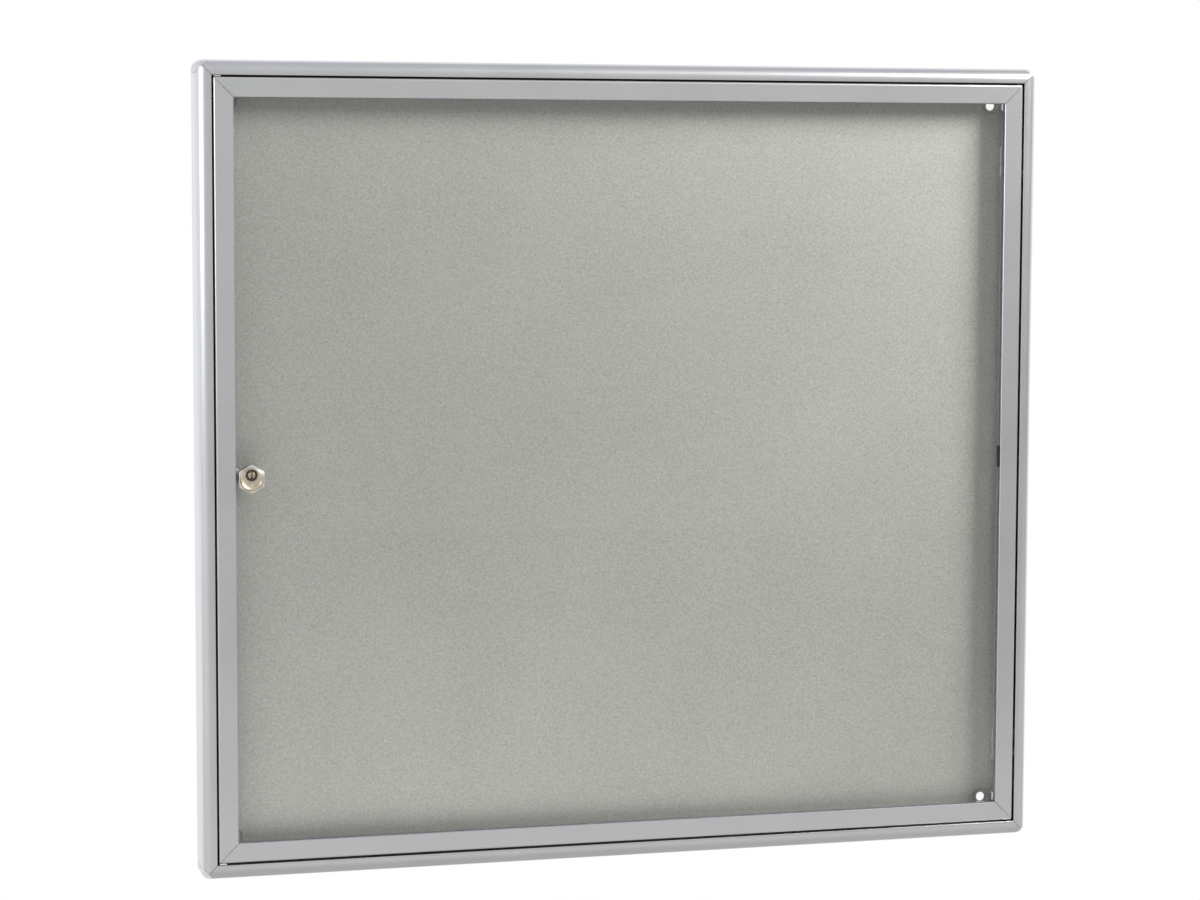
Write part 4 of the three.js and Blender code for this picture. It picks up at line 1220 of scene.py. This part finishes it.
@dataclass
class GuidePads:
    """Two small pads on the door's edges that centre its free end in the case."""

    along: float = 0.3572  # from the middle of its rail
    half: float = 0.0032  # half of its length
    rear: float = 0.0218
    front: float = 0.0288
    outer: float = 0.0011  # how far it stands out from the door's edge
    gap: float = 0.0001  # to the door's edge
    peg_radius: float = 0.001
    peg_end: float = 0.0013

    def build(self) -> None:
        """Makes both pads, each a rounded block with a peg."""
        for side in (Side.TOP, Side.BOTTOM):
            along = self.along * side.rise
            low, high = (along - self.half, -self.front), (along + self.half, -self.rear)
            points = [(x, y, -self.outer) for x, y in rounded_box(low, high, 0.0008)]
            piece = Bench.prism(points, (0.0, 0.0, self.outer - self.gap))
            Bench.soften(piece, 0.0002)
            middle = (self.front + self.rear) / 2
            Bench.join(piece, peg(along, middle, self.peg_radius, -self.outer / 2, self.peg_end))
            node = f"door_guide_{side.word}"
            Bench.done(piece, f"{node}_pad", PAD_FINISH, "door", [node], DOOR.placed(side))


# Screws


@dataclass
class PanScrew:
    """A pan head screw with a cross recess, its head forward and its shank to the wall."""

    shank: float = 0.0014  # radius
    length: float = 0.0046
    head: float = 0.0026  # radius
    height: float = 0.0014
    recess: float = 0.0028  # length of the cross

    def pattern(self) -> Piece:
        """Turns the screw, with a few rolled grooves, and cuts the cross into its head.

        Returns:
            The screw.
        """
        thread = self.shank * 0.09
        profile = [(0.0, -self.length), (self.shank * 0.6, -self.length)]
        turns = 7
        rolled = self.length - self.shank * 0.9
        for i in range(turns):
            root = -self.length + self.shank * 0.5 + rolled * i / turns
            profile += [(self.shank - thread, root), (self.shank, root + rolled / turns / 2)]
        crown = [
            (self.head * math.cos(a), self.height * (0.35 + 0.65 * math.sin(a)))
            for a in map(math.radians, (0.0, 18.0, 36.0, 54.0, 72.0))
        ]
        profile += [(self.shank, 0.0), (self.head, 0.0), *crown, (0.0, self.height)]
        piece = Bench.turned(profile, 28)
        floor = self.height * 0.42
        half, thin = self.recess / 2, self.recess * 0.11
        cross = [(-half, -thin), (half, -thin), (half, thin), (-half, thin)]
        for angle in (0.0, QUARTER):
            slot = plate(cross, floor, self.height - floor + OVERRUN)
            slot.data.transform(Matrix.Rotation(angle, 4, "Y"))
            Bench.cut(piece, slot)
        return piece


# Hinges


@dataclass
class Hinges:
    """Two butt hinges hidden between the case and the door, with pins and screws."""

    z: float = 0.2624  # of both hinges from the middle
    half: float = 0.014  # half of a leaf's length
    knuckle: float = 0.006  # half of the middle knuckle's length, its gaps included
    gap: float = 0.00015  # between two knuckles
    axis_inset: float = 0.0173  # pin axis from the case's outer side
    axis_forward: float = 0.0262
    leaf: float = 0.0015  # thickness
    knuckle_radius: float = 0.0022
    pin_radius: float = 0.0012
    bore_radius: float = 0.00125
    case_start: float = 0.004  # outer end of the case leaf, from the case's outer side
    stop_face: float = 0.0176  # front of the door stop, with the seat's gap
    door_rear: float = 0.0209  # rear of the door profile, with the seat's gap
    door_inset: float = 0.0141  # outer side of the door, from the case's outer side
    door_reach: float = 0.0171  # free end of the door leaf, from the door's outer side
    worn_edge: float = 0.0012  # bevel of the door leaf's free end
    screw_z: float = 0.009  # of both screws from a hinge's middle
    case_screw_inset: float = 0.0095  # from the case's outer side
    door_screw_inset: float = 0.007  # from the door's outer side

    def knuckled(self, piece: Piece, reach: float, ends: Sequence[Point2], inset: float) -> None:
        """Joins knuckles to a leaf, each with the web that carries it.

        Args:
            piece: The leaf.
            reach: Where the webs start, forward from the wall.
            ends: The start and end of each knuckle.
            inset: The axis's distance inward.
        """
        near, far = inset - self.leaf / 2, inset + self.leaf / 2
        tip = self.axis_forward
        for start, end in ends:
            web = [(near, reach), (far, reach), (far, tip), (near, tip)]
            tube = ring((inset, tip), self.knuckle_radius, 36)
            Bench.join(piece, bar(web, start, end), bar(tube, start, end))

    def bored(self, piece: Piece, inset: float, hole_inset: float, rear: float) -> Piece:
        """Bores a leaf's knuckles and makes its two screw holes.

        Args:
            piece: The leaf with its knuckles.
            inset: The axis's distance inward.
            hole_inset: The screws' distance inward.
            rear: The leaf's rear face.

        Returns:
            The same leaf.
        """
        bore = ring((inset, self.axis_forward), self.bore_radius, 32)
        Bench.cut(piece, bar(bore, -self.half - OVERRUN, self.half + OVERRUN))
        for along in (-self.screw_z, self.screw_z):
            Bench.cut(piece, drill(along, hole_inset, SCREW_HOLE, rear, rear + self.leaf, 24))
        return piece

    def case_leaf(self) -> Piece:
        """Makes the leaf that is screwed to the door stop, with the middle knuckle.

        Returns:
            The leaf.
        """
        far = self.axis_inset + self.leaf / 2
        shape = rounded_box((-self.half, self.case_start), (self.half, far), 0.002)
        piece = plate(shape, self.stop_face, self.leaf)
        half = self.knuckle - self.gap
        self.knuckled(piece, self.stop_face, ((-half, half),), self.axis_inset)
        return self.bored(piece, self.axis_inset, self.case_screw_inset, self.stop_face)

    def door_leaf(self) -> Piece:
        """Makes the leaf behind the door profile, with the two outer knuckles.

        Returns:
            The leaf.
        """
        inset = self.axis_inset - self.door_inset
        near, far = inset - self.leaf / 2, inset + self.leaf / 2
        rear = self.door_rear - self.leaf
        shape = rounded_box((-self.half, near), (self.half, self.door_reach), 0.0012)
        piece = plate(shape, rear, self.leaf)
        half = self.knuckle + self.gap
        slot = rounded_box((-half, -0.004), (half, far + 0.0009), 0.0006)
        Bench.cut(piece, plate(slot, rear - OVERRUN, self.leaf + 2 * OVERRUN))
        end, front = self.door_reach - 1e-5, 1e-5 - self.door_rear
        Bench.bevel(
            piece, self.worn_edge, 1, lambda a, b: min(a.z, b.z) > end and max(a.y, b.y) < front
        )
        self.knuckled(piece, rear, ((-self.half, -half), (half, self.half)), inset)
        return self.bored(piece, inset, self.door_screw_inset, rear)

    def pin(self) -> Piece:
        """Turns the pin, with a domed head on top and a rounded tip.

        Returns:
            The pin, along X.
        """
        head, top, flare = 0.0019, self.half + 0.0008, self.half + 0.0001
        dome = [
            (head * math.cos(a), top - 0.0004 * (1 - math.sin(a)))
            for a in map(math.radians, (0, 30, 60))
        ]
        piece = Bench.turned([
            (0.0, -self.half), (self.pin_radius * 0.7, -self.half),
            (self.pin_radius, 0.0004 - self.half), (self.pin_radius, flare), (head, flare), *dome,
            (0.0, top),
        ], 32)
        piece.data.transform(Matrix.Rotation(QUARTER, 4, "Z"))
        inset = self.axis_inset - self.door_inset
        piece.data.transform(Matrix.Translation((0.0, -self.axis_forward, inset)))
        return piece

    def build(self, screw: Piece) -> None:
        """Makes both hinges.

        Args:
            screw: The screw that is copied.
        """
        case_side, door_side = CASE.placed(Side.RIGHT), DOOR.placed(Side.RIGHT)
        patterns = (
            (self.case_leaf(), "case", case_side, "case_leaf", "leaf_on_case", ZINC_FINISH),
            (self.door_leaf(), "door", door_side, "door_leaf", "leaf_on_door", LEAF_FINISH),
            (self.pin(), "door", door_side, "pin", "pivot_pin", ZINC_FINISH),
        )
        case_seat = self.stop_face + self.leaf + 0.0001
        door_seat = self.door_rear - self.leaf - 0.0001
        turned_over = Matrix.Rotation(math.pi, 4, "X")
        screws = (
            ("case", case_side, case_seat, self.case_screw_inset, Matrix()),
            ("door", door_side, door_seat, self.door_screw_inset, turned_over),
        )
        for word, z in (("upper", self.z), ("lower", -self.z)):
            for pattern, body, side, node, name, finish in patterns:
                piece = Bench.copy(pattern, side @ Matrix.Translation((z, 0.0, 0.0)))
                Bench.done(piece, f"hinge_{name}_{word}", finish, body, [f"hinge_{node}_{word}"])
            for end, offset in (("upper", self.screw_z), ("lower", -self.screw_z)):
                for body, side, seat, inset, turn in screws:
                    place = Matrix.Translation((z + offset, -seat, inset))
                    piece = Bench.copy(screw, side @ (place @ turn))
                    node = f"hinge_{word}_{body}_screw_{end}"
                    Bench.done(piece, f"{node}_made", ZINC_FINISH, body, [node])
        for pattern, *_ in patterns:
            bpy.data.objects.remove(pattern)


# Lock


@dataclass
class Keeper:
    """The Z-shaped plate behind which the cam locks, with its two screws."""

    lock_z: float = -0.0045  # height of the lock's axis
    base_start: float = 0.008  # outer edge of the base
    base_rear: float = 0.0144
    riser: float = 0.0235  # near face of the riser
    thickness: float = 0.0015
    strike_rear: float = 0.0176
    reach: float = 0.0353  # tip of the strike
    base_half: float = 0.020  # half of the base's length
    strike_half: float = 0.0067  # half of the strike's length
    strike_lift: float = 0.0015  # middle of the strike above the lock's axis
    tip_radius: float = 0.0018
    screw_inset: float = 0.011
    screw_half: float = 0.014  # from the lock's axis along the profile
    stop_face: float = 0.0176  # front of the door stop, with the screws' gap

    def build(self, screw: Piece) -> None:
        """Makes the keeper and its screws.

        Args:
            screw: The screw that is copied.
        """
        front, strike_front = self.base_rear + self.thickness, self.strike_rear + self.thickness
        high = (self.base_half, self.riser + self.thickness / 2)
        base = rounded_box((-self.base_half, self.base_start), high, 0.0025)
        piece = plate(base, self.base_rear, self.thickness)
        root, far = self.riser - 0.004, self.riser + self.thickness
        step = [
            (root, self.base_rear), (far, self.base_rear), (far, self.strike_rear),
            (self.reach, self.strike_rear), (self.reach, strike_front),
            (self.riser, strike_front), (self.riser, front), (root, front),
        ]
        half, lift = self.strike_half, self.strike_lift
        strike = bar(step, -lift - half, half - lift)
        tip = self.reach - 0.0002
        Bench.bevel(
            strike, self.tip_radius, 4, lambda a, b: min(a.z, b.z) > tip and abs(a.x - b.x) < 1e-5
        )
        Bench.join(piece, strike)
        for along in (-self.screw_half, self.screw_half):
            Bench.cut(piece, drill(along, self.screw_inset, SCREW_HOLE, self.base_rear, front, 24))
        Bench.soften(piece, 0.00015)
        matrix = CASE.placed(Side.LEFT) @ Matrix.Translation((-self.lock_z, 0.0, 0.0))
        Bench.done(piece, "lock_strike_plate", ZINC_FINISH, "case", ["lock_keeper"], matrix)
        for word, along in (("upper", -self.screw_half), ("lower", self.screw_half)):
            local = Matrix.Translation((along, -self.stop_face, self.screw_inset))
            node = f"keeper_screw_{word}"
            head = Bench.copy(screw, matrix @ local)
            Bench.done(head, f"{node}_made", ZINC_FINISH, "case", [node])


@dataclass
class CamLock:
    """The cylinder lock that is clamped in the pane, its plug above the barrel's middle."""

    x: float = -0.3312  # the barrel's axis, across and up
    z: float = -0.0045
    rise: float = 0.0034  # from there up to the axis of the plug
    dish: float = 0.0013  # depth of the hollow front
    barrel: float = 0.0095  # radius
    barrel_rear: float = 0.0195
    barrel_front: float = 0.03265
    collar: float = 0.0107  # radius
    collar_rear: float = 0.0219
    collar_front: float = 0.0243
    washer_rear: float = 0.0244
    washer_front: float = 0.0252
    nut_flats: float = 0.0215  # from flat to flat
    nut_rear: float = 0.0284
    nut_front: float = 0.0319
    plug: float = 0.005  # radius
    plug_front: float = 0.03125
    shoulder: float = 0.0047  # radius of the plug behind the barrel
    keyway_half: float = 0.0009  # half of the keyway's width
    keyway_rise: float = 0.0035  # half of its height
    keyway_ward: float = 0.0006  # how far its wards stand out
    keyway_depth: float = 0.008
    cam_front: float = 0.01725
    cam_rear: float = 0.01575
    tang: float = 0.006  # side of the square behind the plug
    hub: float = 0.006  # radius
    cam_width: float = 0.008
    cam_reach: float = 0.012
    fit: float = 0.00005  # gap round the plug and the barrel

    def barrel_piece(self) -> Piece:
        """Turns the barrel, with a collar, fine threads and a hollow front, bored for the plug.

        Returns:
            The barrel.
        """
        radius, collar, ease = self.barrel, self.collar, 0.0002
        start, pitch, turns = self.collar_front + ease, 0.0011, 6
        threads = []
        for i in range(turns):
            threads += [(radius - 0.00025, start + pitch * i), (radius, start + pitch * (i + 0.5))]
        rim = arc((radius - 0.0006, self.barrel_front - 0.0006), 0.0006, 0.0, 120.0, 8)
        shares = ((0.86, 0.28), (0.80, 0.52), (0.72, 0.74), (0.62, 0.88), (0.50, 0.96), (0.30, 1.0))
        hollow = [(radius * out, self.barrel_front - self.dish * deep) for out, deep in shares]
        piece = Bench.turned([
            (0.0, self.barrel_rear), (radius - 0.0003, self.barrel_rear),
            (radius, self.barrel_rear + 0.0003), (radius, self.collar_rear),
            (collar - ease, self.collar_rear), (collar, self.collar_rear + ease),
            (collar, self.collar_front - ease), (collar - ease, self.collar_front),
            *threads, *rim, *hollow, (0.0, self.barrel_front - self.dish),
        ], 72)
        step = self.plug_front - 0.0004
        bores = (self.plug + self.fit, self.barrel_rear), (self.plug + 0.0003, step + OVERRUN)
        for bore, rear in bores:
            Bench.cut(piece, drill(0.0, self.rise, bore, rear, self.barrel_front, 48))
        return piece

    def washer_piece(self) -> Piece:
        """Turns the sealing ring behind the pane.

        Returns:
            The ring.
        """
        inner, outer, ease = self.barrel + 0.0003, self.collar, 0.0001
        rear, front = self.washer_rear, self.washer_front
        return Bench.turned([
            (inner, rear), (outer - ease, rear), (outer, rear + ease), (outer, front - ease),
            (outer - ease, front), (inner, front),
        ], 64, ring=True)

    def nut_piece(self) -> Piece:
        """Makes the hexagonal nut with one corner up, turned corners and a chamfered bore.

        Returns:
            The nut.
        """
        rear, front, flat = self.nut_rear, self.nut_front, self.nut_flats / 2
        corner = flat / math.cos(math.pi / 6)
        piece = plate(arc((0.0, 0.0), corner, 90.0, 390.0, 5), rear, front - rear)
        start, beyond = rear - OVERRUN, corner + OVERRUN
        body = Bench.turned([
            (0.0, start), (beyond, start), (beyond, front - 0.0014), (corner, front - 0.0009),
            (flat - 0.0001, front - 0.0001), (flat - 0.0006, front), (0.0, front),
        ], 96)
        Bench.boolean(piece, body, "INTERSECT")
        bore, end = self.barrel + self.fit, front + 0.0001
        Bench.cut(piece, Bench.turned([
            (0.0, start), (bore, start), (bore, front - 0.0004), (bore + 0.0005, end), (0.0, end),
        ], 72))
        return piece

    def plug_piece(self) -> Piece:
        """Turns the plug, with a raised guard round its keyway and a square tang behind.

        Returns:
            The plug.
        """
        front, radius, behind = self.plug_front, self.plug, self.cam_front + 0.0001
        piece = Bench.turned([
            (0.0, behind), (self.shoulder, behind), (self.shoulder, self.barrel_rear),
            (radius, self.barrel_rear), (radius, front - 0.0013), (radius - 0.0003, front - 0.001),
            (radius - 0.0018, front - 0.0011), (radius - 0.0021, front - 0.0002),
            (radius - 0.0024, front), (0.0, front),
        ], 64)
        half, rear = self.tang / 2, self.cam_rear + 0.0001
        square = rounded_box((-half, -half), (half, half), 0.0006, 3)
        Bench.join(piece, plate(square, rear, self.barrel_rear - rear))
        slit, rise, ward = self.keyway_half, self.keyway_rise, self.keyway_ward
        keyway = [
            (-slit, -rise), (slit, -rise), (slit, -ward), (slit + ward, 0.0),
            (slit + ward, ward * 2), (slit, ward * 3), (slit, rise), (-slit, rise), (-slit, ward),
            (-slit - ward * 0.6, 0.0), (-slit, -ward),
        ]
        Bench.cut(piece, plate(keyway, front - self.keyway_depth, self.keyway_depth + OVERRUN))
        Bench.cut(piece, drill(0.0, 0.0, 0.0016, rear, self.cam_rear + 0.005, 24))
        return piece

    def cam_piece(self) -> Piece:
        """Makes the cam: a round hub with a square hole, and an arm with a rounded tip.

        Returns:
            The cam.
        """
        half = self.cam_width / 2
        shoulder = math.degrees(math.acos(half / self.hub))
        shape = arc((0.0, 0.0), self.hub, -shoulder, 180.0 + shoulder, 28)
        shape += arc((0.0, half - self.cam_reach), half, 180.0, 360.0, 16)
        piece = plate(shape, self.cam_rear, self.cam_front - self.cam_rear)
        side = self.tang / 2 + 0.0001
        square = rounded_box((-side, -side), (side, side), 0.0005, 3)
        Bench.cut(piece, through(square, self.cam_rear, self.cam_front))
        Bench.soften(piece, 0.0002)
        return piece

    def build(self) -> None:
        """Makes the lock's pieces."""
        place = Matrix.Translation((self.x, 0.0, self.z))
        turning = place @ Matrix.Translation((0.0, 0.0, self.rise))
        rear = Matrix.Translation((0.0, 0.0001 - self.cam_rear, 0.0))
        behind = turning @ rear @ Matrix.Rotation(math.pi, 4, "X")
        screw = PanScrew(shank=0.00145, length=0.005, head=0.0042, height=0.0016, recess=0.0036)
        for make, name, finish, body, node, matrix in (
            (self.washer_piece, "lock_sealing_ring", SEAL_FINISH, "door", "lock_washer", place),
            (screw.pattern, "cam_screw_made", ZINC_FINISH, "latch", "cam_screw", behind),
            (self.barrel_piece, "lock_cylinder_shell", BRASS_FINISH, "door", "lock_barrel", place),
            (self.nut_piece, "lock_hexagon_nut", NICKEL_FINISH, "door", "lock_nut", place),
            (self.plug_piece, "lock_key_plug", PLUG_FINISH, "latch", "lock_plug", turning),
            (self.cam_piece, "lock_cam_plate", ZINC_FINISH, "latch", "lock_cam", turning),
        ):
            Bench.done(make(), name, finish, body, [node], matrix)


# Studio


@dataclass(frozen=True)
class Fade:
    """A smooth change of brightness between two values of a signal."""

    start: float
    end: float
    amount: float

    def over(self, signal: Signal) -> Signal:
        """Gives the change at each place."""
        return signal.ramp(self.start, self.end) * self.amount


@dataclass
class Studio:
    """A plain pale floor, soft lamps and the camera at the photograph's angle.

    The floor's and the room's brightness are what metal mirrors, and the camera sees white.
    """

    eye: Point3 = (-0.74894, -2.62455, 0.25898)
    turn: Point3 = (84.7966, -0.1876, -15.5100)  # in degrees
    lens: float = 93.94
    sensor: float = 36.0
    floor_z: float = -1.1
    floor_radius: float = 9.0
    floor_base: float = 0.62
    floor_behind: Fade = Fade(0.3, 1.8, 0.32)  # brighter behind the board
    floor_left: Fade = Fade(-1.5, -4.0, 0.12)
    floor_before: Fade = Fade(-1.5, -3.2, 0.09)
    floor_below: Fade = Fade(1.5, 0.3, 0.10)  # darker below the board
    far_before: Point2 = (-3.4, -5.6)  # from here to there darker by the next two
    far_dark: float = 0.16
    far_right: Fade = Fade(0.4, 2.6, 0.18)
    room_base: float = 0.60
    room_left: Fade = Fade(-0.2, -0.95, 0.24)
    room_right: Fade = Fade(0.5, 0.95, 0.05)  # darker to the right
    room_middle: float = 0.055
    low: Point2 = (0.02, -0.12)  # from here to there darker by the next two
    low_dark: float = 0.05
    low_right: Fade = Fade(0.1, 0.5, 0.12)
    key_way: Point3 = (0.615, -0.596, 0.516)  # towards the key lamp
    key_glow: Fade = Fade(0.905, 0.975, 0.75)
    soft: float = 0.225  # the room's even light on rough surfaces

    def camera(self) -> None:
        """Sets up the camera."""
        data = bpy.data.cameras.new("view")
        data.lens = self.lens
        data.sensor_width = self.sensor
        data.clip_start = 0.05
        camera = bpy.data.objects.new("view", data)
        camera.location = self.eye
        camera.rotation_euler = [math.radians(a) for a in self.turn]
        bpy.context.scene.collection.objects.link(camera)
        bpy.context.scene.camera = camera

    def lamp(
        self, name: str, place: Sequence[float], aim: Sequence[float], size: Point2, power: float,
        seen: bool = True,
    ) -> None:
        """Adds a rectangular soft lamp.

        Args:
            name: The lamp's name.
            place: Where it stands.
            aim: What it points at.
            size: Its width and height.
            power: Its power in watts.
            seen: Whether glossy surfaces mirror it.
        """
        data = bpy.data.lights.new(name, "AREA")
        data.shape = "RECTANGLE"
        data.size, data.size_y = size
        data.energy = power
        lamp = bpy.data.objects.new(name, data)
        lamp.location = place
        lamp.rotation_euler = (Vector(aim) - Vector(place)).to_track_quat("-Z", "Y").to_euler()
        lamp.visible_glossy = seen
        bpy.context.scene.collection.objects.link(lamp)

    def floor(self) -> None:
        """Lays the floor, whose rim fades into the white round it."""
        Bench.clear()
        bpy.ops.mesh.primitive_circle_add(
            vertices=96, radius=self.floor_radius, fill_type="NGON", location=(0, 0, self.floor_z)
        )
        floor = bpy.context.object
        floor.name = floor.data.name = "studio_floor"
        mix = Recipe(bpy.data.materials.new("studio_floor_paint"))
        here = mix.node("TexCoord", output="Object")
        direct, through_pane, glossy = map(mix.ray, ("Camera", "Transmission", "Glossy"))
        tone = mix.blend(mix.noise(here, 3.0), (0.86, 0.86, 0.86), (0.90, 0.90, 0.90))
        paint = mix.node("BsdfPrincipled", {"Base Color": tone, "Roughness": 0.8})
        (x, y, _), away = mix.axes(here), mix.length(here)
        bright = self.floor_base + self.floor_behind.over(y) + self.floor_left.over(x)
        bright = bright + self.floor_before.over(y)
        far = y.ramp(*self.far_before) * (self.far_right.over(x) + self.far_dark)
        dark = self.floor_below.over(away) + far
        glow = mix.node("Emission", {"Strength": 1.0 - glossy * (1.0 - bright + dark)})
        share = ((direct + through_pane) * away.ramp(1.2, 3.0) + glossy).clamped()
        shader = mix.node("MixShader", {0: share, 1: paint, 2: glow})
        floor.data.materials.append(mix.output(shader))

    def surroundings(self) -> None:
        """Makes the room: white behind the board, and softer in front and above for the metal."""
        world = bpy.data.worlds.new("studio_room")
        bpy.context.scene.world = world
        mix = Recipe(world)
        direct, through_pane, glossy = map(mix.ray, ("Camera", "Transmission", "Glossy"))
        way = mix.node("TexCoord", output="Generated")
        across, back, up = mix.axes(way)
        dip = up.ramp(*self.low) * (self.low_right.over(across) + self.low_dark)
        dip = dip + self.room_right.over(across)
        middle = across.ramp(0.22, 0.10) * up.ramp(-0.06, 0.0) * self.room_middle
        ways = {0: way, 1: self.key_way}
        toward_key = mix.node("VectorMath", ways, "Value", operation="DOT_PRODUCT")
        front = self.room_base + (self.room_left.over(across) + middle) - dip
        front = front + self.key_glow.over(toward_key)
        room = front + (1.0 - front) * (back - up.ramp(0.0, 1.0) * 0.4).ramp(-0.15, 0.25)
        seen = (direct + through_pane).clamped()
        mirrored = glossy * (1.0 - seen)
        strength = seen + mirrored * room + (1.0 - (seen + mirrored).clamped()) * self.soft
        tint = mix.blend((across - up).ramp(-0.7, 0.7), (0.97, 0.98, 1.03), (1.0, 1.0, 0.96))
        colour = mix.blend(seen, tint, (1.0, 1.0, 1.0))
        glow = mix.node("Background", {"Color": colour, "Strength": strength})
        mix.node("OutputWorld", {"Surface": glow})

    def build(self) -> None:
        """Sets up the whole studio."""
        bpy.context.scene.view_settings.view_transform = "Standard"
        self.camera()
        self.floor()
        self.surroundings()
        for name, place, aim, size, power, seen in (
            ("key_lamp", (1.39, -0.86, 1.11), (0.05, -0.03, 0.05), (0.77, 0.77), 43.5, True),
            ("left_lamp", (-1.90, -0.80, 0.66), (-0.37, -0.03, 0.58), (1.1, 1.16), 6.2, True),
            ("bounce_lamp", (-0.30, -0.45, -0.62), (0.0, -0.03, -0.30), (1.4, 0.5), 5.9, False),
            ("top_lamp", (0.0, -0.88, 1.22), (0.0, -0.03, 0.10), (0.9, 0.9), 4.8, False),
        ):
            self.lamp(name, place, aim, size, power, seen)


def dress_remaining(replaced: set[str]) -> None:
    """Gives every CAD node that stays its procedural finish.

    Args:
        replaced: The nodes that other pieces stand for.
    """
    for node, piece in frame["nodes"].items():
        if node in replaced:
            continue
        material = finish_of(node).material()
        if not piece.material_slots:
            piece.data.materials.append(material)
        for slot in piece.material_slots:
            slot.material = material
        LOG.info("dressed %s", node)


def main() -> None:
    """Builds the board's pieces in order, dresses the rest and sets up the studio."""
    logging.basicConfig(level=logging.INFO, format="%(name)s %(message)s")
    Studio().build()
    for part in (CaseProfiles(), CornerPieces(), Panel(), DoorProfiles(), GuidePads()):
        part.build()
    screw = PanScrew().pattern()
    Hinges().build(screw)
    Keeper().build(screw)
    CamLock().build()
    bpy.data.objects.remove(screw)
    replaced: set[str] = set()
    for piece in bpy.data.objects:
        replaced |= set(piece.get("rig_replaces", []))
    dress_remaining(replaced)


if __name__ == "__main__":
    main()
